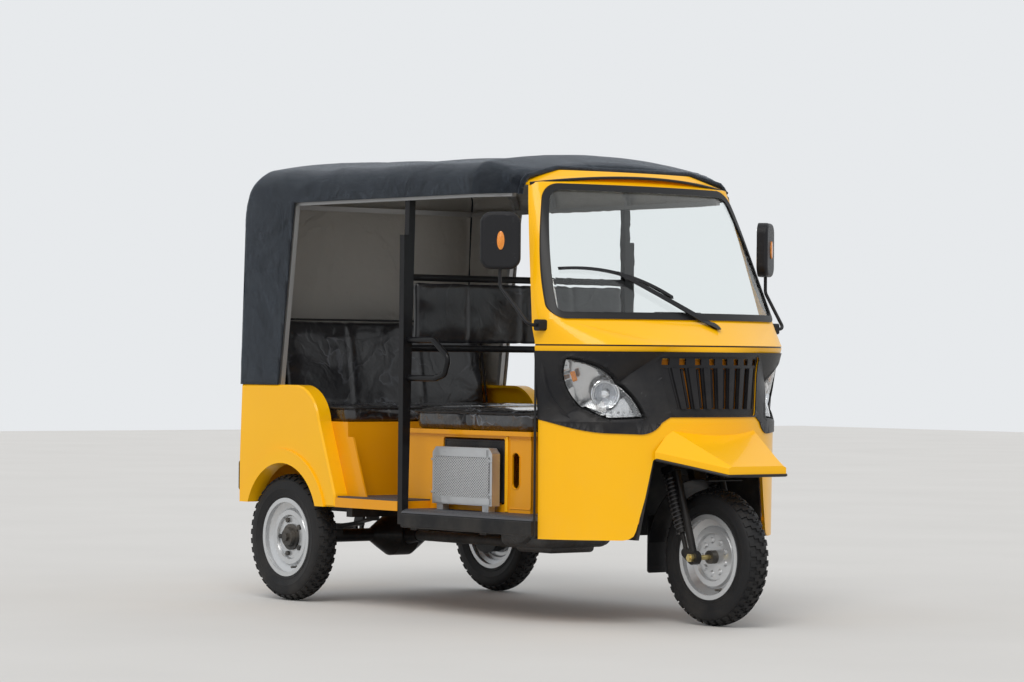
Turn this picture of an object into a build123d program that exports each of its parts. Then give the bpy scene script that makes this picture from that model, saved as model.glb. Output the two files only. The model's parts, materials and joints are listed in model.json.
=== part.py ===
"""Three-wheeled auto rickshaw with a passenger bench, a folding canvas top and a sheet-steel cab.

Millimetres. The vehicle faces -Y, +X is its left side and the ground is z = 0.
The origin is on the ground, in the middle of the overall length and width.
"""
from build123d import *
from functools import cache
from math import atan2, cos, pi, radians, sin, sqrt
import os

os.makedirs("parts", exist_ok=True)

# ---------------------------------------------------------------- driving dimensions
WHEELBASE = 2050
TRACK = 1110
FRONT_OVERHANG = 267.5      # front axle to the foremost point, the tyre
REAR_OVERHANG = 325         # rear axle to the rearmost point, the lamps
CLEARANCE = 5               # least gap between what moves and what does not

FRONT_AXLE = -(FRONT_OVERHANG + WHEELBASE + REAR_OVERHANG) / 2 + FRONT_OVERHANG
REAR_AXLE = FRONT_AXLE + WHEELBASE
REAR_END = REAR_AXLE + REAR_OVERHANG

# wheels: 4.00-12 tyres on two-piece disc rims
TYRE_R = 267.5
TYRE_W = 104
BEAD_R = 152.4
FLANGE_R = 166
WELL_R = 136                # drop centre of the rim
RIM_W = 84
RIM_WALL = 4
HUB_R = 55                  # rear hub in the middle of the disc
FRONT_HUB_R = 26
STUD_COUNT = 5
STUD_CIRCLE = 148
BUMP_COUNT, BUMP_CIRCLE = 9, 132
DRUM_R = 92
DRUM_DEPTH = 44

# steering
RAKE = 18                   # degrees from vertical
AXIS_LEAD = 13              # steering axis behind the axle at hub height
LEG_X = 112                 # fork leg beside the wheel
LEG_R = 15
SHOCK_R, SHOCK_BACK = 20.5, 45
AXLE_R = 10
CROWN_Z, CROWN_T = 597, 26
HEAD_LOW, HEAD_HIGH = 650, 860
HEAD_R = 30
STEM_R = 18
BAR_Z = 1000
GUARD_R, GUARD_T, GUARD_HALF = 300, 4, 88
FLAP_T, FLAP_LOW, FLAP_HIGH = 5, 192, 420

# cab plan sections: height, half width, front edge ahead of the front axle, nose radius, corner radius
CAB_BOTTOM, BAND_LOW, BELT = 335, 790, 1082
SEAM = 6                    # black strip between the nose and the upper cab
SCREEN_SILL, HEADER, SHOULDER, CAB_TOP = 1184, 1722, 1752, 1778
NOSE_SECTIONS = (
    (CAB_BOTTOM, 600, 10, 650, 300),
    (BAND_LOW, 602, 17, 650, 300),
    (BELT, 628, 10, 1150, 500),
)
SEAM_SECTIONS = (
    (BELT, 628, 10, 1150, 500),
    (BELT + SEAM, 628, 10, 1150, 500),
)
CAB_SECTIONS = (
    (BELT + SEAM, 628, 10, 1150, 500),
    (SCREEN_SILL, 609, -142, 1133, 110),
    (HEADER, 528, -428, 1620, 70),
    (SHOULDER, 462, -485, 1620, 70),
    (CAB_TOP, 385, -520, 1620, 70),
)
PANEL = 12                  # double-skinned body panel
BAND_T = 5                  # plastic band standing proud of the nose
BAND_TOP = 1062
CAB_REAR = FRONT_AXLE + 375         # rear edge of the cab side up to the belt
PILLAR_TOP_Y = FRONT_AXLE + 535     # rear edge of the pillar at the header
ROOF_REAR = FRONT_AXLE + 600
LAMP_RIM, LAMP_RIM_W = 12, 5        # black socket round the lens, and its wall
LAMP_DEPTH = 60
SEAL_W, SEAL_PROUD = 26, 6
BRIM_T, BRIM_HALF = 10, 523         # arched brim over the windscreen
BRIM_SIDE_Y, BRIM_LIP_Y = FRONT_AXLE + 525, FRONT_AXLE + 445
BRIM_SIDE_Z, BRIM_MIDDLE_Z = 1712, 1748
GLASS_T = 6

# grille in (x, z): a sunk trapezoid with square holes over long slots
GRILLE_TOP, GRILLE_LOW = 1044, 815
GRILLE_HALF_TOP, GRILLE_HALF_LOW = 267, 218
GRILLE_SUNK, GRILLE_T, GRILLE_POCKET = 4, 8, 24
SLOT_HIGH, SLOT_LOW, SLOT_W = 1000, 842, 23
PITCH_TOP, PITCH_LOW = 66, 56
HOLE_Z, HOLE_W, HOLE_H = 1024, 28, 24

# chassis, floors and steps
RAIL_X, RAIL_W, RAIL_H = 270, 44, 64
FLOOR_T, MAT_T = 16, 6
DRIVER_FLOOR, PASSENGER_FLOOR = 414, 449
STEP_IN, STEP_OUT, STEP_TOP, STEP_H = 574, 622, 404, 59
WELL_REAR = FRONT_AXLE + 398        # firewall behind the front wheel
WELL_HALF, WELL_FRONT_HALF, WELL_TOP_HALF, WELL_TOP = 285, 354, 262, 706
SHEET = 8
TOW_EYE_R, TOW_EYE_T = 14, 14
TOW_EYE_Y, TOW_EYE_Z = REAR_AXLE + 288, 286
FRAME_FRONT, FRAME_REAR = WELL_REAR + 8, REAR_AXLE + 298
SPRING_X, SPRING_W, SPRING_Y = 360, 50, REAR_AXLE - 10
LEAF_T, LEAF_RADIUS = 8, 1168
LEAF_HALVES = (290, 200, 120)
AXLE_TUBE_R = 28

# middle
POST_X, POST_W, POST_LEAN = 600, 30, 26
POST_Y = REAR_AXLE - 825
POST_BOTTOM, POST_TOP = 357, 1668
RAIL_LOW, RAIL_UP, RAIL_R = 1070, 1357, 14
SEAT_BOX_HALF, SEAT_BOX_TOP, SEAT_RIM = 448, 742, 14
SEAT_BOX_FRONT, SEAT_BOX_REAR = POST_Y - 632, POST_Y + 168
SEAT_TOP = 835
ENGINE_HALF, ENGINE_LOW, ENGINE_TOP = 180, 240, SEAT_BOX_TOP - 142
ENGINE_FRONT, ENGINE_REAR = POST_Y - 440, POST_Y - 90

# rear
SKIN_X, FLARE_X = 622, 630
QUARTER_DEPTH = 66
ARCH_Y, ARCH_Z, ARCH_R, FLARE_R = REAR_AXLE - 10, 321, 261, 320
BENCH_FRONT = REAR_AXLE - 385
BENCH_TOP = 762
BENCH_CUSHION_TOP = 840
BACKREST_TOP = 1200
PANEL_Y = REAR_AXLE + 301

# canopy sections: y, half width, shoulder height, crown height
HOOD_T = 8
HOOD_HEM, HOOD_SKIRT = 912, 1680
HOOD_FRONT = FRONT_AXLE + 550
HOOD_SECTIONS = (
    (HOOD_FRONT, 542, 1742, 1812),
    (FRONT_AXLE + 770, 606, 1765, 1845),
    (REAR_AXLE + 340, 612, 1768, 1862),
)
HOOD_LIP = FRONT_AXLE + 575         # front edge of the top at the middle
HOOD_REAR = REAR_AXLE + 322
BOW = 20                    # square tube that carries the canvas


def save(piece, name):
    piece.part.label = name
    export_step(piece.part, f"parts/{name}.step")


def plan_face(section, inset=0, tail=0):
    """Horizontal cab section: curved nose, two corner arcs and straight sides to a common rear line."""
    height, half, front, nose_r, corner_r = section
    half, nose_r, corner_r = half - inset, nose_r - inset, corner_r - inset
    front_y = FRONT_AXLE - front + inset
    rear_y = FRONT_AXLE + 700 + tail
    corner_x = half - corner_r
    centre_y = front_y + nose_r
    corner_y = centre_y - sqrt((nose_r - corner_r) ** 2 - corner_x ** 2)
    spread = atan2(corner_x, centre_y - corner_y)
    middle = (spread + pi / 2) / 2
    join = (nose_r * sin(spread), centre_y - nose_r * cos(spread))
    bend = (corner_x + corner_r * sin(middle), corner_y - corner_r * cos(middle))
    with BuildSketch(Plane.XY.offset(height)) as plan:
        with BuildLine():
            Line((-half, rear_y), (-half, corner_y))
            ThreePointArc((-half, corner_y), (-bend[0], bend[1]), (-join[0], join[1]))
            ThreePointArc((-join[0], join[1]), (0, front_y), join)
            ThreePointArc(join, bend, (half, corner_y))
            Line((half, corner_y), (half, rear_y))
            Line((half, rear_y), (-half, rear_y))
        make_face()
    return plan.sketch


@cache
def cab_solid(sections, inset=0, tail=0):
    with BuildPart() as solid:
        loft(sections=[plan_face(section, inset, tail) for section in sections], ruled=True)
    return solid.part


@cache
def cab_shell_between(sections, outer, inner):
    """The cab's skin between two insets, open at the rear, the top and the bottom."""
    with BuildPart() as skin:
        add(cab_solid(sections, outer))
        add(cab_solid(sections, inner, tail=20), mode=Mode.SUBTRACT)
    return skin.part


def side_profile(points):
    """A slab across the vehicle from an outline in (y, z)."""
    with BuildPart() as slab:
        with BuildSketch(Plane.YZ):
            Polygon(*points, align=None)
        extrude(amount=900, both=True)
    return slab.part


cab_reach = side_profile([
    (FRONT_AXLE - 400, CAB_BOTTOM - 50), (CAB_REAR, CAB_BOTTOM - 50), (CAB_REAR, BELT + 17),
    (PILLAR_TOP_Y, HEADER), (ROOF_REAR, HEADER + 24), (ROOF_REAR, 1900), (FRONT_AXLE - 400, 1900)])


def through_nose(face, reach):
    """A prism along Y from a front-view outline, ending this far behind the front axle."""
    with BuildPart() as prism:
        extrude(face, amount=500 - FRONT_AXLE, dir=(0, -1, 0))
        split(bisect_by=Plane.XZ.offset(-FRONT_AXLE - reach), keep=Keep.TOP)
    return prism.part


def nose_layer(face, outer, inner, reach=580, sections=NOSE_SECTIONS):
    """What a front-view outline takes out of the skin between two insets."""
    with BuildPart() as layer:
        add(cab_shell_between(sections, outer, inner))
        add(through_nose(face, reach), mode=Mode.INTERSECT)
    return layer.part


def wheel_opening():
    """Outline of the front wheel's opening in the nose, in (x, z)."""
    with BuildSketch(Plane.XZ) as outline:
        with BuildLine():
            Polyline((-232, 700), (-284, 642), (-309, 499), (-338, 372), (-346, 351), (-362, 339), (-384, 334),
                     (-384, 300), (384, 300), (384, 334), (362, 339), (346, 351), (338, 372), (309, 499),
                     (284, 642), (232, 700), close=True)
        make_face()
    return outline.sketch


def band_outline():
    """The black band in (x, z): low beside the wheel's hood and stepped up over it."""
    with BuildSketch(Plane.XZ) as outline:
        with BuildLine():
            Line((-224, 810), (224, 810))
            Line((224, 810), (257, 789))
            ThreePointArc((257, 789), (289, 755), (344, 744))
            Line((344, 744), (437, 747))
            ThreePointArc((437, 747), (534, 768), (599, 802))
            Polyline((599, 802), (700, 802), (700, BAND_TOP), (-700, BAND_TOP), (-700, 802), (-599, 802))
            ThreePointArc((-599, 802), (-534, 768), (-437, 747))
            Line((-437, 747), (-344, 744))
            ThreePointArc((-344, 744), (-289, 755), (-257, 789))
            Line((-257, 789), (-224, 810))
        make_face()
    return outline.sketch


def lamp_outline(side, margin=0):
    """Leaf-shaped headlamp lens in (x, z), pointed at its upper outer end."""
    with BuildSketch(Plane.XZ) as outline:
        with BuildLine():
            ThreePointArc((side * 551, 1031), (side * 394, 944), (side * 322, 812))
            Line((side * 322, 812), (side * 425, 806))
            ThreePointArc((side * 425, 806), (side * 519, 888), (side * 551, 1031))
        make_face()
        if margin:
            offset(amount=margin)
    return outline.sketch


def grille_outline(margin=0):
    with BuildSketch(Plane.XZ) as outline:
        Polygon((-GRILLE_HALF_LOW, GRILLE_LOW), (GRILLE_HALF_LOW, GRILLE_LOW),
                (GRILLE_HALF_TOP, GRILLE_TOP), (-GRILLE_HALF_TOP, GRILLE_TOP), align=None)
        fillet(outline.vertices(), radius=14)
        if margin:
            offset(amount=margin)
    return outline.sketch


def screen_outline(margin=0):
    """Windscreen opening in (x, z): bowed sides that draw in towards the head."""
    with BuildSketch(Plane.XZ) as outline:
        with BuildLine():
            Line((-590, SCREEN_SILL + 4), (590, SCREEN_SILL + 4))
            ThreePointArc((590, SCREEN_SILL + 4), (553, 1450), (478, HEADER - 2))
            Line((478, HEADER - 2), (-478, HEADER - 2))
            ThreePointArc((-478, HEADER - 2), (-553, 1450), (-590, SCREEN_SILL + 4))
        make_face()
        fillet(outline.vertices().group_by(Axis.Y)[0], radius=50)
        fillet(outline.vertices().group_by(Axis.Y)[-1], radius=90)
        if margin:
            offset(amount=-margin)
    return outline.sketch


# ================================================================ wheels

def tyre(x, y):
    with BuildPart() as ring:
        with BuildSketch(Plane.XY.offset(TYRE_R)):
            with BuildLine():
                shoulder, bulge = TYRE_W / 2 - 9, TYRE_W / 2
                seat = RIM_W / 2 - RIM_WALL
                Line((x - seat, y + BEAD_R), (x - seat, y + FLANGE_R))
                ThreePointArc((x - seat, y + FLANGE_R), (x - bulge, y + 210), (x - shoulder, y + 250))
                ThreePointArc((x - shoulder, y + 250), (x, y + TYRE_R), (x + shoulder, y + 250))
                ThreePointArc((x + shoulder, y + 250), (x + bulge, y + 210), (x + seat, y + FLANGE_R))
                Line((x + seat, y + FLANGE_R), (x + seat, y + BEAD_R))
                Line((x + seat, y + BEAD_R), (x - seat, y + BEAD_R))
            make_face()
        revolve(axis=Axis((x, y, TYRE_R), (1, 0, 0)))
    return ring


def rim(x, y, face, bore, bumps=0):
    """Drop-centre rim with a pressed disc. face is +1 or -1: the side that the disc stands towards."""
    lip, seat, wall = RIM_W / 2, RIM_W / 2 - RIM_WALL, RIM_WALL
    inside, well = BEAD_R - wall, WELL_R - wall
    with BuildPart() as wheel:
        with BuildSketch(Plane.XY.offset(TYRE_R)):
            with BuildLine():
                Polyline(*[(x + face * a, y + r) for a, r in (
                    (-lip, FLANGE_R), (-seat, FLANGE_R), (-seat, BEAD_R), (-20, BEAD_R), (-12, WELL_R),
                    (12, WELL_R), (20, BEAD_R), (seat, BEAD_R), (seat, FLANGE_R), (lip, FLANGE_R),
                    (lip, inside), (22, inside), (14, well), (10, 122), (20, 114), (20, 94), (8, 88),
                    (8, bore), (2, bore), (2, 91), (15, 97), (15, 111), (4, 119), (4, well),
                    (-14, well), (-22, inside), (-lip, inside))], close=True)
            make_face()
        revolve(axis=Axis((x, y, TYRE_R), (1, 0, 0)))
        if bumps:
            with BuildSketch(Plane(origin=(x + face * 7, y, TYRE_R), x_dir=(0, 1, 0), z_dir=(face, 0, 0))):
                with PolarLocations(BUMP_CIRCLE / 2, bumps):
                    Circle(13)
            extrude(amount=9, taper=30)
    return wheel


def rear_hub(x, y, side):
    """Brake drum, hub, wheel nuts and the axle's end nut, all turning with the wheel."""
    flange = Plane(origin=(x + side * 2, y, TYRE_R), x_dir=(0, 1, 0), z_dir=(side, 0, 0))
    with BuildPart() as hub:
        with BuildSketch(flange):
            Circle(DRUM_R - 4)
        extrude(amount=-12)
        with BuildSketch(flange.offset(-12)):
            Circle(DRUM_R)
        extrude(amount=-DRUM_DEPTH)
        with BuildSketch(flange):
            Circle(HUB_R)
        extrude(amount=16)
        with BuildSketch(flange.offset(16)):
            Circle(HUB_R - 14)
        extrude(amount=18, taper=12)
        with BuildSketch(flange.offset(34)):
            RegularPolygon(radius=18, side_count=6)
        extrude(amount=12)
        with BuildSketch(flange.offset(6)):
            with PolarLocations(STUD_CIRCLE / 2, STUD_COUNT):
                RegularPolygon(radius=11, side_count=6)
        extrude(amount=11)
    return hub


for label, side in (("right", -1), ("left", 1)):
    wheel_x = side * TRACK / 2
    save(tyre(wheel_x, REAR_AXLE), f"rear_{label}_tyre")
    save(rim(wheel_x, REAR_AXLE, side, HUB_R), f"rear_{label}_rim")
    save(rear_hub(wheel_x, REAR_AXLE, side), f"rear_{label}_hub")

save(tyre(0, FRONT_AXLE), "front_tyre")
save(rim(0, FRONT_AXLE, -1, FRONT_HUB_R, BUMP_COUNT), "front_rim")

with BuildPart() as front_hub:
    # columns: where the step starts, its radius, its length across the wheel
    for start, radius, length in ((-36, FRONT_HUB_R, 34), (-2, DRUM_R - 12, 62), (60, 20, 26)):
        with BuildSketch(Plane.YZ.offset(start)):
            with Locations((FRONT_AXLE, TYRE_R)):
                Circle(radius)
        extrude(amount=length)
    with BuildSketch(Plane.YZ.offset(-100)):
        with Locations((FRONT_AXLE, TYRE_R)):
            Circle(AXLE_R + 0.05)
    extrude(amount=200, mode=Mode.SUBTRACT)
save(front_hub, "front_hub")

# ================================================================ steering

axis_foot = Vector(0, FRONT_AXLE + AXIS_LEAD, TYRE_R)
axis_dir = Vector(0, sin(radians(RAKE)), cos(radians(RAKE)))


def on_axis(z):
    return axis_foot + axis_dir * ((z - TYRE_R) / axis_dir.Z)


def axis_plane(z):
    return Plane(origin=on_axis(z), x_dir=(1, 0, 0), z_dir=tuple(axis_dir))


crown_y = on_axis(CROWN_Z).Y

with BuildPart() as front_axle:
    with BuildSketch(Plane.YZ.offset(-LEG_X - 34)):
        with Locations((FRONT_AXLE, TYRE_R)):
            Circle(AXLE_R)
    extrude(amount=2 * LEG_X + 68)
    for side in (-1, 1):
        with BuildSketch(Plane.YZ.offset(side * (LEG_X + 14))):
            with Locations((FRONT_AXLE, TYRE_R)):
                RegularPolygon(radius=17, side_count=6)
        extrude(amount=side * 14)
save(front_axle, "front_axle")

with BuildPart() as front_fork:
    for side in (-1, 1):
        foot = Vector(side * LEG_X, FRONT_AXLE, TYRE_R)
        top = Vector(side * LEG_X, crown_y - 14, CROWN_Z + 6)
        with BuildSketch(Plane(origin=foot, z_dir=top - foot)):
            Circle(LEG_R)
        extrude(amount=(top - foot).length)
        # lower bracket that holds the axle and the foot of the shock absorber
        with BuildSketch(Plane.YZ.offset(side * LEG_X - 14)) as bracket:
            with Locations((FRONT_AXLE, TYRE_R)):
                Circle(27)
            with Locations((FRONT_AXLE + SHOCK_BACK, TYRE_R + 18)):
                Circle(16)
            make_hull()
        extrude(amount=28)
        shock_foot = Vector(side * LEG_X, FRONT_AXLE + SHOCK_BACK, TYRE_R + 18)
        shock_top = Vector(side * LEG_X, crown_y + 31, CROWN_Z)
        rod = shock_top - shock_foot
        # columns: where along the shock it starts, where it ends, its radius
        for start, end, radius in ((0, 1, 9), (0.24, 0.28, 24), (0.28, 0.95, SHOCK_R), (0.95, 0.99, 24)):
            with BuildSketch(Plane(origin=shock_foot + rod * start, z_dir=rod)):
                Circle(radius)
            extrude(amount=rod.length * (end - start))
    with BuildSketch(axis_plane(CROWN_Z)):
        with Locations((0, 10)):
            RectangleRounded(2 * LEG_X + 60, 94, 24)
    extrude(amount=CROWN_T)
    with BuildSketch(axis_plane(CROWN_Z + 20)):
        Circle(STEM_R)
    extrude(amount=(BAR_Z - CROWN_Z - 20) / axis_dir.Z)
    add(front_axle.part, mode=Mode.SUBTRACT)
save(front_fork, "front_fork")

with BuildPart() as front_mudguard:
    with BuildSketch(Plane.YZ.offset(-GUARD_HALF)) as guard_arc:
        with Locations((FRONT_AXLE, TYRE_R)):
            Circle(GUARD_R + GUARD_T)
            Circle(GUARD_R, mode=Mode.SUBTRACT)
        Polygon((FRONT_AXLE, TYRE_R), (FRONT_AXLE - 110, 900),
                (FRONT_AXLE + 400, 900), (FRONT_AXLE + 400, TYRE_R + 60), align=None, mode=Mode.INTERSECT)
    extrude(amount=2 * GUARD_HALF)
    with BuildSketch(axis_plane(CROWN_Z)):
        Rectangle(60, 34)
    extrude(amount=-48)
save(front_mudguard, "front_mudguard")

# rubber flap that hangs behind the wheel from the foot of the mudguard
with BuildPart() as mud_flap:
    with BuildSketch(Plane.XZ.offset(-(FRONT_AXLE + GUARD_R))):
        with Locations((0, (FLAP_LOW + FLAP_HIGH) / 2)):
            RectangleRounded(2 * GUARD_HALF, FLAP_HIGH - FLAP_LOW, 12)
    extrude(amount=-FLAP_T)
    with BuildSketch(Plane.YZ.offset(-GUARD_HALF)):
        with Locations((FRONT_AXLE, TYRE_R)):
            Circle(GUARD_R + GUARD_T)
    extrude(amount=2 * GUARD_HALF, mode=Mode.SUBTRACT)
save(mud_flap, "mud_flap")

bar_y = on_axis(BAR_Z).Y
with BuildPart() as handlebar:
    with BuildSketch(axis_plane(BAR_Z)):
        RectangleRounded(120, 64, 16)
    extrude(amount=44)
    for side in (-1, 1):
        bar = Plane(origin=(side * 50, bar_y + 8, BAR_Z + 22), z_dir=(side, 0.4, 0.02))
        # columns: where along the bar it starts, its radius, its length
        for start, radius, length in ((0, 11, 262), (150, 20, 24), (174, 16, 112)):
            with BuildSketch(bar.offset(start)):
                Circle(radius)
            extrude(amount=length)
save(handlebar, "handlebar")

# ================================================================ chassis


def rail_profile(x):
    """Side view of a rail: low under the driver, raised to the passenger floor behind the post."""
    low, high = DRIVER_FLOOR - FLOOR_T, PASSENGER_FLOOR - FLOOR_T
    with BuildSketch(Plane.YZ.offset(x)) as profile:
        Polygon((FRAME_FRONT, low - RAIL_H), (FRAME_FRONT, low), (POST_Y - 60, low), (POST_Y + 15, high),
                (FRAME_REAR, high), (FRAME_REAR, high - RAIL_H), (POST_Y + 25, high - RAIL_H),
                (POST_Y - 50, low - RAIL_H), align=None)
    return profile.sketch


with BuildPart() as chassis_frame:
    for side in (-1, 1):
        extrude(rail_profile(side * RAIL_X - RAIL_W / 2), amount=RAIL_W, dir=(1, 0, 0))
    # cross members. columns: y, underside, half length
    low, high = DRIVER_FLOOR - FLOOR_T - RAIL_H, PASSENGER_FLOOR - FLOOR_T - RAIL_H
    for y, base, half in ((FRAME_FRONT + 25, low, STEP_IN), (POST_Y - 490, low, STEP_IN),
                          (POST_Y - 40, low, STEP_IN), (BENCH_FRONT - 40, high, STEP_IN),
                          (FRAME_REAR - 20, high, RAIL_X)):
        with BuildSketch(Plane.XY.offset(base)):
            with Locations((0, y)):
                Rectangle(2 * half, 40)
        extrude(amount=RAIL_H)
    # gooseneck to the steering head
    head_mid = on_axis((HEAD_LOW + HEAD_HIGH) / 2)
    with BuildSketch(Plane.YZ.offset(-40)):
        Polygon((WELL_REAR + 8, low), (WELL_REAR + 84, low), (WELL_REAR + 84, HEAD_HIGH - 20),
                (head_mid.Y + 30, HEAD_HIGH + 10), (head_mid.Y, WELL_TOP + 30),
                (WELL_REAR + 8, WELL_TOP + 30), align=None)
    extrude(amount=80)
    with BuildSketch(axis_plane(HEAD_LOW)):
        Circle(HEAD_R)
    extrude(amount=(HEAD_HIGH - HEAD_LOW) / axis_dir.Z)
    with BuildSketch(axis_plane(HEAD_LOW - 60)):
        Circle(STEM_R + 0.05)
    extrude(amount=420, mode=Mode.SUBTRACT)
    # hangers over the eyes of the leaf springs
    for side in (-1, 1):
        for end in (-1, 1):
            with BuildSketch(Plane.XY.offset(PASSENGER_FLOOR - FLOOR_T)):
                with Locations((side * (RAIL_X + SPRING_X + SPRING_W / 2) / 2,
                                SPRING_Y + end * LEAF_HALVES[0])):
                    Rectangle(SPRING_X + SPRING_W / 2 - RAIL_X, 34)
            extrude(amount=-(PASSENGER_FLOOR - FLOOR_T - 372))
    # tow eye under the rear cross member
    with BuildSketch(Plane.YZ.offset(-TOW_EYE_T / 2)):
        Polygon((FRAME_REAR - 60, high), (FRAME_REAR, high), (TOW_EYE_Y + 30, TOW_EYE_Z + 12),
                (TOW_EYE_Y + 30, TOW_EYE_Z - 24), (TOW_EYE_Y - 26, TOW_EYE_Z - 24), align=None)
        with Locations((TOW_EYE_Y, TOW_EYE_Z)):
            Circle(TOW_EYE_R, mode=Mode.SUBTRACT)
    extrude(amount=TOW_EYE_T)
save(chassis_frame, "chassis_frame")

leaf_y, leaf_z = SPRING_Y, TYRE_R + AXLE_TUBE_R + 2 + LEAF_T * len(LEAF_HALVES) + LEAF_RADIUS
with BuildPart() as leaf_springs:
    for side in (-1, 1):
        across = Plane.YZ.offset(side * SPRING_X - SPRING_W / 2)
        for row, half in enumerate(LEAF_HALVES):
            with BuildSketch(across):
                with Locations((leaf_y, leaf_z)):
                    Circle(LEAF_RADIUS + LEAF_T * (row + 1))
                    Circle(LEAF_RADIUS + LEAF_T * row, mode=Mode.SUBTRACT)
                with Locations((leaf_y, leaf_z - LEAF_RADIUS)):
                    Rectangle(2 * half, 300, mode=Mode.INTERSECT)
            extrude(amount=SPRING_W)
        for end in (-1, 1):
            with BuildSketch(across):
                with Locations((leaf_y + end * LEAF_HALVES[0], 358)):
                    Circle(14)
            extrude(amount=SPRING_W)
save(leaf_springs, "leaf_springs")

drum_inner = TRACK / 2 + 2 - 12 - DRUM_DEPTH - CLEARANCE
with BuildPart() as rear_axle:
    with BuildSketch(Plane.XY.offset(TYRE_R)):
        with BuildLine():
            # half section, (x, r): differential bulge, tube, brake back plate
            Polyline(*[(x, REAR_AXLE + r) for x, r in (
                (0, 0), (0, 92), (46, 92), (96, 62), (150, AXLE_TUBE_R), (drum_inner - 12, AXLE_TUBE_R),
                (drum_inner - 12, DRUM_R + 4), (drum_inner, DRUM_R + 4), (drum_inner, 0))], close=True)
        make_face()
    revolve(axis=Axis((0, REAR_AXLE, TYRE_R), (1, 0, 0)))
    mirror(about=Plane.YZ)
    with BuildSketch(Plane.XZ.offset(-REAR_AXLE + 60)):
        with Locations((0, TYRE_R)):
            Circle(46)
    extrude(amount=92, taper=12)
    for side in (-1, 1):
        with BuildSketch(Plane.XY.offset(TYRE_R)):
            with Locations((side * SPRING_X, SPRING_Y)):
                Rectangle(SPRING_W, 90)
        extrude(amount=AXLE_TUBE_R + 2)
save(rear_axle, "rear_axle")

with BuildPart() as drive_shaft:
    with BuildSketch(Plane.XZ.offset(-REAR_AXLE + 152)):
        with Locations((0, TYRE_R)):
            Circle(22)
    extrude(amount=REAR_AXLE - 152 - ENGINE_REAR)
save(drive_shaft, "drive_shaft")

with BuildPart() as engine_block:
    with BuildSketch(Plane.XY.offset(ENGINE_LOW)):
        with Locations((0, (ENGINE_FRONT + ENGINE_REAR) / 2)):
            Rectangle(2 * ENGINE_HALF, ENGINE_REAR - ENGINE_FRONT)
    extrude(amount=ENGINE_TOP - ENGINE_LOW)
    # bearers between the rails
    with BuildSketch(Plane.XY.offset(low + 10)):
        with Locations((0, (ENGINE_FRONT + ENGINE_REAR) / 2)):
            Rectangle(2 * RAIL_X - RAIL_W, 90)
    extrude(amount=34)
save(engine_block, "engine_block")

PIPE_R, PIPE_Z, MUFFLER_X, MUFFLER_R = 16, 292, 490, 52
with BuildPart() as muffler:
    with BuildLine() as pipe:
        FilletPolyline((ENGINE_HALF, ENGINE_REAR - 120, PIPE_Z), (MUFFLER_X, ENGINE_REAR - 120, PIPE_Z),
                       (MUFFLER_X, POST_Y + 40, PIPE_Z), radius=60)
    with BuildSketch(Plane(origin=(ENGINE_HALF, ENGINE_REAR - 120, PIPE_Z), z_dir=(1, 0, 0))):
        Circle(PIPE_R)
    sweep(path=pipe.wire())
    # columns: where it starts, its radius, its length
    for start, radius, length in ((POST_Y + 30, MUFFLER_R, 310), (POST_Y + 340, PIPE_R, 60)):
        with BuildSketch(Plane.XZ.offset(-start)):
            with Locations((MUFFLER_X, PIPE_Z)):
                Circle(radius)
        extrude(amount=-length)
    with BuildSketch(Plane.XZ.offset(-(POST_Y + 150))):
        with Locations((MUFFLER_X, (PIPE_Z + PASSENGER_FLOOR - FLOOR_T) / 2)):
            Rectangle(30, PASSENGER_FLOOR - FLOOR_T - PIPE_Z)
    extrude(amount=-30)
save(muffler, "muffler")

with BuildPart() as side_steps:
    for side in (-1, 1):
        with BuildSketch(Plane.XZ.offset(-CAB_REAR)):
            with Locations((side * (STEP_IN + STEP_OUT) / 2, STEP_TOP - STEP_H / 2)):
                RectangleRounded(STEP_OUT - STEP_IN, STEP_H, 8)
        extrude(amount=-(POST_Y - POST_W / 2 - CAB_REAR))
save(side_steps, "side_steps")

with BuildPart() as wheel_house:
    # columns: front y, rear y, sheet taken off all round, foot, how the block is used
    for front_y, rear_y, trim, foot, how in (
            (FRONT_AXLE - 60, WELL_REAR, 0, CAB_BOTTOM, Mode.ADD),
            (FRONT_AXLE - 61, WELL_REAR - SHEET, SHEET, CAB_BOTTOM - 20, Mode.SUBTRACT)):
        with BuildSketch(Plane.XZ.offset(-front_y)):
            Polygon((-WELL_FRONT_HALF + trim, foot), (WELL_FRONT_HALF - trim, foot),
                    (WELL_TOP_HALF - trim, WELL_TOP - trim), (-WELL_TOP_HALF + trim, WELL_TOP - trim), align=None)
        with BuildSketch(Plane.XZ.offset(-rear_y)):
            Polygon((-WELL_HALF + trim, foot), (WELL_HALF - trim, foot),
                    (WELL_HALF - trim, WELL_TOP - trim), (-WELL_HALF + trim, WELL_TOP - trim), align=None)
        loft(ruled=True, mode=how)
    add(cab_solid(NOSE_SECTIONS, PANEL), mode=Mode.INTERSECT)
    with BuildSketch(axis_plane(HEAD_LOW - 60)):
        Circle(HEAD_R + 6)
    extrude(amount=420, mode=Mode.SUBTRACT)
save(wheel_house, "wheel_house")

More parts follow.
